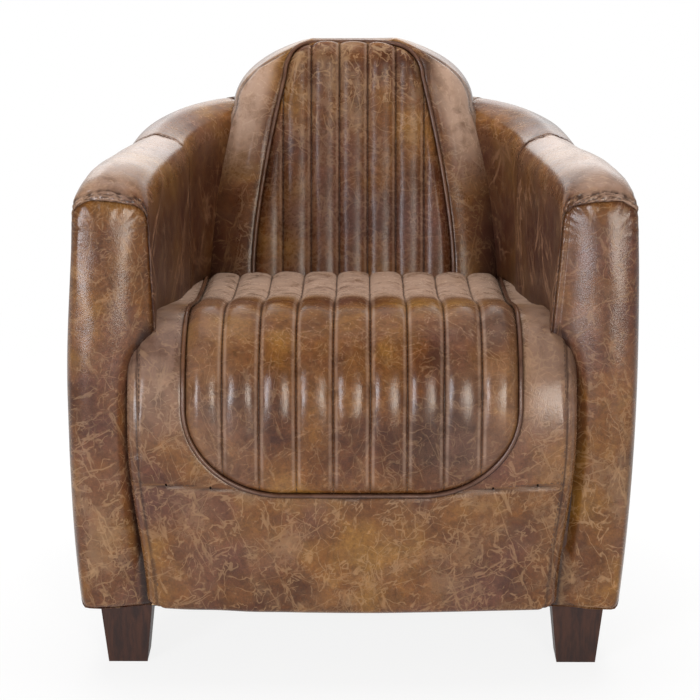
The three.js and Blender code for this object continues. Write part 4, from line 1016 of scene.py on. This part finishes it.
def seat_surface(x, s, height):
    """Points of the seat at distance x across and s along, height above its leather."""
    row = seat_at(s)
    y, z, ny, nz = np.moveaxis(row, -1, 0)
    half, radius = seat_widths(z, nz)
    flat = half - radius
    bow = FACE_CROWN + (TOP_CROWN - FACE_CROWN) * np.clip(nz, 0, 1)
    over = np.clip((np.abs(x) - flat) / radius, 0, 1)
    round_edge = radius * (1 - np.sqrt(1 - np.clip(over, 0, 0.9999) ** 2))
    drop = bow * np.clip(np.abs(x) / flat, 0, 1) ** 2 + round_edge
    rise = SKIN + height - drop
    return np.stack([x, y + ny * rise, z + nz * rise], axis=-1)


# %% [markdown]
# The channelled panel is nine rolls of wadding between rows of stitches. Each roll is nearly flat on top and
# falls steeply into its seam, which is what catches the light on both sides of every line. Its lower edge is
# a wide curve, so each column of the grid ends on that curve.

# %% Seat channels
PANEL_HALF, PANEL_BOTTOM, CORNER_W, CORNER_H = 222.0, 257.0, 130.0, 118.0
CORNER_Z = PANEL_BOTTOM + CORNER_H
CHANNELS = 9


def panel_bottom_height(x):
    """The height of the channelled panel's lower edge at a distance from the middle."""
    over = np.clip((np.abs(x) - (PANEL_HALF - CORNER_W)) / CORNER_W, 0, 1)
    return CORNER_Z - CORNER_H * np.sqrt(1 - over**2)


def roll_shape(place, count, sharpness=0.54):
    """1 over the middle of each channel and 0 in its seams."""
    t = (place * count) % 1.0
    return (1 - np.abs(2 * t - 1) ** 2.3) ** sharpness


def channel_columns(half, count, margin):
    local = np.array([0, 0.015, 0.035, 0.065, 0.1, 0.14, 0.2, 0.28, 0.38, 0.5, 0.62, 0.72,
                      0.8, 0.86, 0.9, 0.935,
                      0.965, 0.985])
    columns = np.concatenate([(c + local) / count for c in range(count)] + [[1.0]])
    return (2 * columns - 1) * (half - margin), columns


def seat_top_wear_and_sheen(points):
    """The flat top of the seat is paler, partly worn where people sit down and partly a painted sheen."""
    return step_between(points[..., 1], ARM_FRONT + 110, ARM_FRONT + 260)


def build_seat_channels():
    margin = 2.2
    x, columns = channel_columns(PANEL_HALF, CHANNELS, margin)
    s_end = run_at_height(panel_bottom_height(np.clip(np.abs(x), 0, PANEL_HALF - margin)) + margin)
    t = np.concatenate([np.linspace(0, 1, 230)[:-1], [0.9975, 1.0]])
    s = t[:, None] * s_end[None]
    grid_x = np.broadcast_to(x, s.shape)
    flat = np.stack([grid_x, s], axis=-1)
    edge_line = np.stack([np.concatenate([[x[0]], x, [x[-1]]]), np.concatenate([[0], s_end, [0]])], axis=-1)
    edge = distance_to_line(flat, edge_line)
    place = np.broadcast_to(columns, s.shape)
    wander = 1.3 * soft_noise(np.stack([place * 40, s / 90, 0 * s], axis=-1), 1.0, 5)
    base = seat_surface(grid_x, s, 0 * s)
    flatter = 0.6 + 0.4 * step_between(base[..., 2], 280, 400)
    rise = roll_shape(place, CHANNELS) * SEAT_RISE * flatter
    spot = base.copy()
    rise = rise * (1 + 0.05 * soft_noise(spot, (49, 60, 60), 91))
    rise += 0.55 * soft_noise(spot, (30, 26, 26), 92, 2) * step_between(rise, 3, 8)
    pucker = soft_noise(np.stack([place * 300, s / 7.5, 0 * s], axis=-1), 1.0, 93)
    seam_near = np.exp(-(((place * CHANNELS + 0.5) % 1.0 - 0.5) / 0.14) ** 2)
    rise += 0.5 * pucker * seam_near * step_between(rise, 0.2, 3)
    rim = step_between(edge, 0.0, 15.0)
    rise = rise * (0.25 + 0.75 * rim) - 3.4 * np.exp(-edge / 2.2)
    grid = seat_surface(grid_x + wander * 0.4, s, rise)
    from_groove = np.abs((place * CHANNELS + 0.5) % 1.0 - 0.5) * 2 * PANEL_HALF / CHANNELS
    # Dark seams, and painted shade along the panel's edge by the piping.
    crease_and_shade = 0.95 * (2.2 * flatter - 1.2) * np.exp(-((from_groove / 0.8) ** 2)) + 0.9 * np.exp(-edge / 2.0)
    # Painted highlights: thin pale lines beside each groove and on the outer flutes, where the lamps would
    # catch them.
    beside_groove = 0.4 * np.exp(-(((from_groove - 4.0) / 1.8) ** 2)) * step_between(edge, 3, 20)
    highlight_and_wear = seat_top_wear_and_sheen(grid) + 0.15 * step_between(np.abs(grid_x), 80, 200) + beside_groove
    numbers = {"panel": 8.0, "crease_and_shade": np.clip(crease_and_shade, 0, 1).ravel(), "pale": 0.1, "wear_and_sheen": highlight_and_wear.ravel()}
    faces = grid_faces(*grid.shape[:2], flip=False)
    return make_piece("seat_channels", grid, faces, numbers), s_end, x


seat_channels, seat_edge_run, seat_edge_x = build_seat_channels()
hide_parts("seat_channel_panel")
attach(seat_channels, "root")
for channel in range(1, CHANNELS):
    seam_x = (2 * channel / CHANNELS - 1) * (PANEL_HALF - 2.2)
    along = np.linspace(4, run_at_height(panel_bottom_height(abs(seam_x))) - 5, 220)
    line = seat_surface(np.full(220, seam_x), along, np.full(220, 0.55))
    stitch_along(line, seat_at(along)[:, 2:] @ np.array([[0, 1, 0], [0, 0, 1]]), 4.4, 2.4, 0.55)
print(seat_channels.name, len(seat_channels.data.polygons), "faces")

# %% Seat sides and front border
BORDER_SEAM = 268.0
SIDE_SEAM_IN = 14.0


def panel_outline(count=60):
    x = PANEL_HALF * np.cos(np.linspace(0, math.pi / 2, count))
    s = run_at_height(panel_bottom_height(x))
    half = np.stack([x, s], axis=-1)
    straight = np.array([[PANEL_HALF, 0.0]])
    right = np.vstack([straight, half])
    left = right[::-1] * np.array([-1, 1])
    return np.vstack([right, left[1:]])


def build_seat_leather():
    end = SEAT_RUN[-1]
    s = np.concatenate([np.linspace(0, end - 60, 210)[:-1], np.linspace(end - 60, end, 40)])
    returns = np.array([0.1, 0.25, 0.5, 1.0, 1.5, 2.0])
    across = np.concatenate([-1 - returns[::-1], np.linspace(-1, 1, 241), 1 + returns])
    beyond = np.clip(np.abs(across) - 1, 0, None)
    across = np.clip(across, -1, 1)
    row = seat_at(s)
    half, radius = seat_widths(row[:, 1], row[:, 3])
    flat = half - radius
    arc_len = radius * math.pi / 2
    total = flat + arc_len
    run = np.abs(across)[None] * total[:, None]
    in_arc = np.clip((run - flat[:, None]) / arc_len[:, None], 0, 1) * math.pi / 2
    x = np.where(run < flat[:, None], run, flat[:, None] + radius[:, None] * np.sin(in_arc))
    x = x * np.sign(across)[None]
    ss = np.broadcast_to(s[:, None], x.shape)
    outline = panel_outline()
    plan = np.stack([x, ss], axis=-1)
    gap = distance_to_line(plan, outline)
    z = np.broadcast_to(row[:, 1][:, None], x.shape)
    under_panel = z > panel_bottom_height(np.clip(np.abs(x), 0, PANEL_HALF))
    inside = (np.abs(x) < PANEL_HALF) & (under_panel | (ss < run_at_height(CORNER_Z)))
    signed = np.where(inside, -gap, gap)
    seam_x = (half - SIDE_SEAM_IN)[:, None]
    side_gap = np.abs(np.abs(x) - seam_x)
    tilt = BORDER_SEAM + 4 * (np.abs(x) - 230) / 60
    seam_gap = np.abs(z - tilt)
    seam_live = (z < 330) & (np.abs(x) < seam_x) & (signed > 0)
    height = 2.6 * (1 - np.exp(-np.clip(signed, 0, None) / 14))
    height = height - 8.0 * step_between(-signed, -3.0, 6.0)
    height += 1.0 * soft_noise(np.stack([x, ss, 0 * x], axis=-1), (90, 80, 50), 101, 2)
    height -= 2.0 * np.exp(-((side_gap / 2.2) ** 2))
    height -= np.where(seam_live, 1.8 * np.exp(-((seam_gap / 2.2) ** 2)), 0)
    flange_spot = np.stack([x * 0, ss / 8, side_gap / 30], axis=-1)
    height += 0.7 * soft_noise(flange_spot, 1.0, 103) * np.exp(-side_gap / 9)
    points = seat_surface(x, ss, height)
    back_to = np.clip(ARM_FRONT + 1.5 - points[..., 1], 0, None)
    points[..., 1] += back_to * np.clip(beyond, 0, 1)
    outward = (np.clip(beyond - 1, 0, 1) * step_between(back_to, 0, 12)
               * (SEAT_HALF - np.abs(points[..., 0]) + 2))
    points[..., 0] += np.sign(across) * np.clip(outward, 0, None)
    crease_and_shade = 0.85 * np.exp(-((side_gap / 1.6) ** 2))
    crease_and_shade = crease_and_shade + np.where(seam_live, 0.85 * np.exp(-((seam_gap / 1.5) ** 2)), 0)
    # Painted shade darkens the recess at the panel's edge and the returns behind the seat.
    crease_and_shade += 0.9 * np.exp(-np.abs(signed) / 3.0) + np.clip(beyond * 1.2 - 0.2, 0, 1)
    pale = np.where(z < tilt, 0.6, 0.4)
    numbers = {
        "panel": np.where(z < tilt, 9.0, np.where(x < 0, 10.0, 11.0)),
        "crease_and_shade": np.clip(crease_and_shade, 0, 1), "pale": pale,
        # Rub paints a sheen on the upper sides; shade paints shade on the returns and the top corners.
        "wear_and_sheen": np.maximum(seat_top_wear_and_sheen(points), 0.35 * step_between(z, 300, 400)),
        "shade": np.clip(beyond, 0, 1) + 0.7 * step_between(np.abs(x), 226, 250) * step_between(z, 400, 440),
    }
    return points, numbers, z < tilt, signed, x


seat_points, seat_numbers, below_seam, seat_signed, seat_x = build_seat_leather()


def cut_panel(name, keep, nodes):
    """Makes a piece from the part of the seat's leather where keep is true."""
    rows, columns = keep.shape
    faces = grid_faces(rows, columns)
    chosen = faces[keep.ravel()[faces].all(axis=1)]
    used, renumbered = np.unique(chosen, return_inverse=True)
    numbers = {k: np.broadcast_to(v, keep.shape).ravel()[used] for k, v in seat_numbers.items()}
    piece = make_piece(name, seat_points.reshape(-1, 3)[used], renumbered.reshape(-1, 4), numbers)
    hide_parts(*nodes)
    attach(piece, "root")
    return piece


def grown(mask):
    """The mask and the points just above it, so that neighbouring panels share their seam."""
    result = mask.copy()
    result[:-1] |= mask[1:]
    return result


near = seat_signed > -9.0
cut_panel("seat_front_border_leather", grown(below_seam) & near, ["seat_front_border", "seat_foam"])
cut_panel("seat_side_left_leather", ~below_seam & near & (seat_x < 0), ["seat_side_panel_left"])
cut_panel("seat_side_right_leather", ~below_seam & near & (seat_x > 0), ["seat_side_panel_right"])
for side in (-1, 1):
    along = np.linspace(40, SEAT_RUN[-1] - 70, 300)
    half, _ = seat_widths(seat_at(along)[:, 1], seat_at(along)[:, 3])
    line = seat_surface(side * (half - SIDE_SEAM_IN - 3.4), along, np.full(300, 1.9))
    stitch_along(line, seat_at(along)[:, 2:] @ np.array([[0, 1, 0], [0, 0, 1]]))
    across = np.linspace(206, float(seat_widths(np.array(272.0), np.array(0.0))[0]) - SIDE_SEAM_IN - 4, 60)
    height = BORDER_SEAM + 4 * (across - 230) / 60 + 3.4
    line = seat_surface(side * across, run_at_height(height), np.full(60, 2.2))
    stitch_along(line, (0, -1, 0))
print("seat leather is cut into three panels")

# %% Cords for piping
def cord(name, line, radius, panel, nodes, closed=False, sides=10):
    """A round cord along a line of points, closed at its ends."""
    line = np.asarray(line, float)
    tangent = np.gradient(line, axis=0)
    tangent /= np.linalg.norm(tangent, axis=1, keepdims=True)
    side = np.cross(tangent, np.array([0.02, -1.0, 0.35]))
    side /= np.linalg.norm(side, axis=1, keepdims=True)
    up = np.cross(side, tangent)
    angle = np.linspace(0, 2 * math.pi, sides, endpoint=False)
    wobble = 1 + 0.06 * soft_noise(line, 9.0, int(panel) + 200)[:, None]
    ring = (np.cos(angle)[None, :, None] * side[:, None] + np.sin(angle)[None, :, None] * up[:, None])
    grid = line[:, None] + ring * (radius * wobble)[..., None]
    rows, columns = grid.shape[:2]
    faces = [list(f) for f in grid_faces(rows, columns, around=True)]
    faces += [list(range(columns))[::-1], [(rows - 1) * columns + i for i in range(columns)]]
    # The cord is paler on top, from wear and a painted highlight, and darker underneath from painted shade.
    top = np.broadcast_to(np.clip(np.sin(angle), 0, 1)[None], (rows, columns))
    numbers = {"panel": panel, "wear_and_sheen": 0.6 * top.ravel() ** 2, "crease_and_shade": (0.55 * (1 - top)).ravel()}
    piece = make_piece(name, grid, faces, numbers, piping_leather)
    if nodes:
        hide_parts(*nodes)
    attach(piece, "root")
    return piece


outline = panel_outline(90)
lead = np.stack([np.full(80, PANEL_HALF), np.linspace(0, outline[1, 1], 80)], axis=-1)[:-1]
tail = lead[::-1] * np.array([-1, 1])
outline = resample(np.vstack([lead, outline[1:-1], tail]), 420)
cord_line = seat_surface(outline[:, 0], outline[:, 1], np.full(len(outline), 1.6))
seat_piping = cord("seat_piping_cord", cord_line, 3.3, 12.0, ["seat_piping"])
print(seat_piping.name, len(seat_piping.data.polygons), "faces")

# %% [markdown]
# The inside back is a padded dome that leans back between the arms and stands above them. Its plan at each
# height is a rounded oblong, and the oblong narrows towards the top. The seven channels lie on its front,
# inside a piping that closes over the top.

# %% The back pad
BACK_TOP, PAD_BOTTOM = 790.0, 206.2
HALF_AT_SEAT, SHOULDER_Z, HALF_AT_SHOULDER, TOP_HALF = 232.0, 690.0, 184.0, 60.0
FACE_FOAM, BOARD, REAR_FOAM = 68.0, 15.0, 24.0
EDGE_ROLL, REAR_ROLL = 46.0, 26.0
PAD_THICK = FACE_FOAM + BOARD + REAR_FOAM
TOP_ROUND, REAR_ROUND, TOP_THINNING = 26.0, 55.0, 76.0


def back_half(z):
    z = np.asarray(z, float)
    t = np.clip((z - SEAT_TOP) / (SHOULDER_Z - SEAT_TOP), 0, None)
    low = HALF_AT_SEAT - (HALF_AT_SEAT - HALF_AT_SHOULDER) * t**2
    u = np.clip((z - SHOULDER_Z) / (BACK_TOP - SHOULDER_Z), 0, 1)
    high = TOP_HALF + (HALF_AT_SHOULDER - TOP_HALF) * np.clip(1 - u**2, 0, 1) ** 0.8
    return np.where(z < SHOULDER_Z, low, high)


def front_line(z):
    """Where the pad's front lies at each height. It rolls back over the last part of the top."""
    over = np.clip((np.asarray(z, float) - (BACK_TOP - TOP_ROUND)) / TOP_ROUND, 0, 1)
    return back_face(z) - SKIN + TOP_ROUND * (1 - np.sqrt(1 - np.clip(over, 0, 0.995) ** 2))


def pad_loop(z, count=240):
    half = float(back_half(z))
    front = float(front_line(z))
    over = float(np.clip((z - (BACK_TOP - REAR_ROUND)) / REAR_ROUND, 0, 1))
    rear = float(back_face(z)) + SKIN + PAD_THICK - TOP_THINNING * over**2.2
    share = (rear - front) / (PAD_THICK + 2 * SKIN)
    deep, rear_roll = float(np.interp(z, [SEAT_TOP, SHOULDER_Z], [64.0, 48.0])) * share, REAR_ROLL * share
    wide = max(14.0, half - float(piping_half(min(z, PIPE_TOP), 0)) - 6.0)

    def corner(cx, cy, rx, ry, start, end):
        a = np.radians(np.linspace(start, end, 16))
        return np.stack([cx + rx * np.cos(a), cy + ry * np.sin(a)], axis=1)

    loop = np.vstack([
        [[0.0, rear]],
        corner(-half + rear_roll, rear - rear_roll, rear_roll, rear_roll, 90, 180),
        corner(-half + wide, front + deep, wide, deep, 180, 270),
        corner(half - wide, front + deep, wide, deep, 270, 360),
        corner(half - rear_roll, rear - rear_roll, rear_roll, rear_roll, 0, 90),
    ])
    loop = soften(resample(loop, 600, closed=True), 40)
    return resample(loop, count, closed=True)


def build_back_pad():
    z = np.concatenate([np.linspace(PAD_BOTTOM, 430, 12)[:-1], np.linspace(430, 700, 76)[:-1],
                        np.linspace(700, 789, 42)])
    grid = np.array([np.column_stack([pad_loop(h), np.full(240, h)]) for h in z])
    normal = grid_normals(grid, around=True)
    if normal[len(z) // 2, 120, 1] > 0:
        normal = -normal
    x, h = grid[..., 0], grid[..., 2]
    half = back_half(h)
    on_front = step_between(-normal[..., 1], 0.1, 0.6)
    from_piping = np.abs(x) - piping_half(h, np.sign(x))
    ripple = soft_noise(np.stack([from_piping / 13, h / 130, np.sign(x) * 4], axis=-1), 1.0, 131, 2)
    wing = on_front * step_between(from_piping, 2, 10)
    lift = 1.0 * soft_noise(grid, (80, 80, 110), 133, 2)
    lift += 2.2 * ripple * wing * step_between(h, 560, 660)
    lift += 2.4 * (1 - np.exp(-np.clip(from_piping, 0, None) / 10)) * on_front
    seam = np.abs(np.abs(x) - (half - 8))
    seam_live = step_between(-normal[..., 1], -0.2, 0.25)
    lift -= 1.6 * np.exp(-((seam / 1.6) ** 2)) * seam_live
    lift -= 8.0 * on_front * step_between(-from_piping, -2.0, 6.0)
    grid = grid + normal * lift[..., None]
    # Dark seam, and painted shade in the recess along the piping.
    crease_and_shade = (0.85 * np.exp(-((seam / 1.3) ** 2)) * seam_live
              + 0.8 * on_front * np.exp(-np.abs(from_piping) / 3))
    # Shade paints shade on the low wings; rub paints a highlight on the upper wings.
    low = (1 - step_between(h, 470, 640)) * step_between(from_piping, 14, 60)
    wear_and_sheen = wing * step_between(from_piping, 6, 34) * step_between(h, 560, 680)
    numbers = {"panel": np.where(x < 0, 13.0, 14.0).ravel(), "crease_and_shade": np.clip(crease_and_shade, 0, 1).ravel(),
               "pale": 0.3, "shade": (np.where(x < 0, 1.0, 1.1) * low).ravel(), "wear_and_sheen": wear_and_sheen.ravel()}
    piece = closed_tube("back_pad_leather", grid, numbers)
    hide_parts("back_cover", "back_foam")
    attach(piece, "root")
    return piece


PIPE_HALF_SEAT, PIPE_HALF_TOP, PIPE_CORNER = 151.0, 104.0, 58.0
PIPE_CORNER_LEFT, PIPE_CORNER_RIGHT = 58.0, 84.0
TURN_START = BACK_TOP - TOP_ROUND - 7.0
PIPE_TOP = TURN_START + TOP_ROUND * 1.5


def piping_half(u, side):
    """Half the width between the two lines of back piping. u is a height, or a length over the top's turn."""
    u = np.asarray(u, float)
    corner_u = PIPE_TOP - PIPE_CORNER
    t = np.clip((u - SEAT_TOP) / (corner_u - SEAT_TOP), 0, 1)
    line = PIPE_HALF_SEAT - (PIPE_HALF_SEAT - PIPE_HALF_TOP) * t**1.5
    over = np.clip((u - corner_u) / PIPE_CORNER, 0, 1)
    corner = np.where(np.asarray(side) < 0, PIPE_CORNER_LEFT, PIPE_CORNER_RIGHT)
    return line - corner * (1 - np.sqrt(1 - over**2))


back_pad = build_back_pad()
print(back_pad.name, len(back_pad.data.polygons), "faces")

# %% Back channels and piping
BACK_CHANNELS = 7


def back_surface(x, u, height):
    """Points over the back's front. u is the height, and goes on as a length where the top turns over."""
    turn = np.clip((u - TURN_START) / TOP_ROUND, 0, 1.6)
    z = np.where(u < TURN_START, u, TURN_START + TOP_ROUND * np.sin(turn))
    y = back_face(z) - SKIN + TOP_ROUND * (1 - np.cos(turn))
    lean = math.radians(BACK_LEAN) + turn * 0.85
    return np.stack([x, y - height * np.cos(lean), z + height * np.sin(lean)], axis=-1)


def piping_top(x, margin=0.0):
    """How far up the piping closes over the channels, at each distance from the middle."""
    u = np.linspace(SEAT_TOP, PIPE_TOP, 900)
    left = np.interp(-np.abs(x) - margin, -piping_half(u, -1), u, right=PIPE_TOP)
    right = np.interp(-np.abs(x) - margin, -piping_half(u, 1), u, right=PIPE_TOP)
    return np.where(np.asarray(x) < 0, left, right)


def build_back_channels():
    margin = 2.0
    local = np.array([0, 0.02, 0.045, 0.075, 0.11, 0.16, 0.22, 0.3, 0.4, 0.5, 0.6, 0.7,
                      0.78, 0.84, 0.89, 0.925,
                      0.955, 0.98])
    columns = np.concatenate([(c + local) / BACK_CHANNELS for c in range(BACK_CHANNELS)] + [[1.0]])
    x = (2 * columns - 1) * (PIPE_HALF_SEAT - margin)
    z_end = piping_top(x, margin) - margin
    z_start = 400.0
    t = np.linspace(0, 1, 190)
    z = z_start + t[:, None] * (z_end - z_start)[None]
    grid_x = np.broadcast_to(x, z.shape)
    line = np.stack([np.concatenate([[x[0]], x, [x[-1]]]),
                     np.concatenate([[z_start], z_end, [z_start]])], axis=-1)
    edge = distance_to_line(np.stack([grid_x, z], axis=-1), line)
    place = np.broadcast_to(columns, z.shape)
    t_in = (place * BACK_CHANNELS) % 1.0
    from_seam = np.minimum(t_in, 1 - t_in) * 43
    rise = BACK_RISE * roll_shape(place, BACK_CHANNELS) * (1 + 0.25 * step_between(z, 690, 780))
    spot = np.stack([grid_x, z * 0, z], axis=-1)
    rise += 0.5 * soft_noise(spot, (40, 40, 60), 151, 2) * step_between(rise, 2, 6)
    fine_spot = np.stack([place * 300, z / 8, 0 * z], axis=-1)
    rise += 0.35 * soft_noise(fine_spot, 1.0, 153) * np.exp(-from_seam / 6)
    rise = rise * (0.3 + 0.7 * step_between(edge, 0, 13)) - 3.0 * np.exp(-edge / 2.2)
    grid = back_surface(grid_x, z, rise)
    crease_and_shade = 0.95 * np.exp(-((from_seam / 0.9) ** 2)) + 0.9 * np.exp(-edge / 2.0)
    # Painted highlight lines beside the grooves, stronger on the side the right lamp would light; shade
    # paints the lower part darker.
    lit_side = 0.08 + 0.3 * step_between(t_in, 0.4, 0.6)
    highlight_and_wear = lit_side * np.exp(-(((from_seam - 3.6) / 1.6) ** 2)) * step_between(edge, 3, 20)
    low = 1 - step_between(grid[..., 2], 600, 700)
    numbers = {"panel": 15.0, "crease_and_shade": np.clip(crease_and_shade, 0, 1).ravel(), "wear_and_sheen": highlight_and_wear.ravel(),
               "shade": (0.12 * low).ravel(),
               "pale": (0.1 + 0.9 * step_between(grid[..., 2], 600, 720)).ravel()}
    return make_piece("back_channels", grid, grid_faces(*grid.shape[:2], flip=True), numbers)


back_channels = build_back_channels()
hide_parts("back_channel_panel")
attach(back_channels, "root")

up = np.concatenate([np.linspace(400, PIPE_TOP - PIPE_CORNER, 160)[:-1],
                     PIPE_TOP - PIPE_CORNER * (1 - np.sin(np.linspace(0, math.pi / 2, 40)))])
right = np.stack([piping_half(up, 1), up], axis=-1)
left = np.stack([-piping_half(up, -1), up], axis=-1)
across_top = np.stack([np.linspace(right[-1, 0], left[-1, 0], 40)[1:-1], np.full(38, PIPE_TOP)], axis=-1)
pipe = resample(np.vstack([right, across_top, left[::-1]]), 420)
outer_line = back_surface(pipe[:, 0], pipe[:, 1], np.full(len(pipe), 1.6))
back_piping = cord("back_piping_cord", outer_line, 3.4, 16.0, ["back_piping"])
for channel in range(1, BACK_CHANNELS):
    seam_x = (2 * channel / BACK_CHANNELS - 1) * (PIPE_HALF_SEAT - 2.0)
    heights = np.linspace(430, float(piping_top(np.array(seam_x), 2.0)) - 5, 200)
    if heights[-1] > 440:
        line = back_surface(np.full(200, seam_x), heights, np.full(200, 0.5))
        stitch_along(line, (0, -1, 0.27), 4.4, 2.4, 0.55)
print(back_channels.name, len(back_channels.data.polygons), "faces")

# %% The thread itself
stitching = build_stitches("stitching")
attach(stitching, "root")
print(stitching.name, len(stitching.data.polygons), "faces")

# %% Timber, plywood, steel and cloth for the pieces that keep their solids
def plain_material(name, build):
    material, tree = new_material(name)
    inputs = build(tree, add_node(tree, "ShaderNodeTexCoord").outputs["Object"])
    shader = add_node(tree, "ShaderNodeBsdfPrincipled", inputs)
    add_node(tree, "ShaderNodeOutputMaterial", {0: shader.outputs[0]})
    return material


def wood_look(dark, light, roughness):
    def build(tree, where):
        drawn = stretched(tree, where, (60.0, 60.0, 7.0))
        grain = noise(tree, drawn, 1.6, 5.0, 0.6, 0.6)
        fine = noise(tree, drawn, 7.0, 4.0, 0.6)
        mixed = math_node(tree, "ADD", math_node(tree, "MULTIPLY", grain, 0.7),
                          math_node(tree, "MULTIPLY", fine, 0.3))
        colour = mix_colour(tree, between(tree, mixed, 0.35, 0.65), (*dark, 1), (*light, 1))
        relief = add_node(tree, "ShaderNodeBump", {"Height": mixed, "Strength": 0.25, "Distance": 0.0006})
        return {"Base Color": colour, "Roughness": roughness, "Specular IOR Level": 0.3,
                "Normal": relief.outputs[0]}
    return build


stained = plain_material("stained_wood", wood_look((0.013, 0.004, 0.003), (0.038, 0.013, 0.007), 0.5))
timber = plain_material("frame_timber", wood_look((0.34, 0.21, 0.11), (0.52, 0.36, 0.2), 0.7))
plywood = plain_material("frame_plywood", wood_look((0.42, 0.29, 0.16), (0.6, 0.44, 0.27), 0.7))


def cloth_look(colour, count):
    def build(tree, where):
        weave = add_node(tree, "ShaderNodeTexWave", {"Vector": where, "Scale": count, "Distortion": 0.6})
        other = add_node(tree, "ShaderNodeTexWave", {"Vector": where, "Scale": count, "Distortion": 0.6},
                         bands_direction="Y")
        height = math_node(tree, "MULTIPLY", weave.outputs[1], other.outputs[1])
        lighter = tuple(min(1.0, c * 1.9 + 0.01) for c in colour)
        mixed = mix_colour(tree, height, (*colour, 1), (*lighter, 1))
        relief = add_node(tree, "ShaderNodeBump", {"Height": height, "Strength": 0.4, "Distance": 0.0005})
        return {"Base Color": mixed, "Roughness": 0.9, "Normal": relief.outputs[0]}
    return build


black_cloth = plain_material("dust_cloth", cloth_look((0.012, 0.012, 0.012), 180.0))
webbing = plain_material("webbing", cloth_look((0.03, 0.03, 0.03), 90.0))


def steel_look(tree, where):
    brushed = noise(tree, where, 300.0, 3.0)
    return {"Base Color": (0.55, 0.55, 0.56, 1), "Metallic": 1.0,
            "Roughness": add_node(tree, "ShaderNodeMapRange", {0: brushed, 3: 0.25, 4: 0.5}).outputs[0]}


steel = plain_material("bolt_steel", steel_look)
finishes = [("leg_bolt", steel), ("leg_", stained), ("dust_cover", black_cloth), ("web", webbing),
            ("arm_panel", plywood), ("tub_back_panel", plywood), ("back_board", plywood), ("rail", timber),
            ("corner_block", timber)]
dressed = 0
for name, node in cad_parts.items():
    for part, material in finishes:
        if part in name:
            node.data.materials.clear()
            node.data.materials.append(material)
            dressed += 1
            break
print(dressed, "solids have a finish")
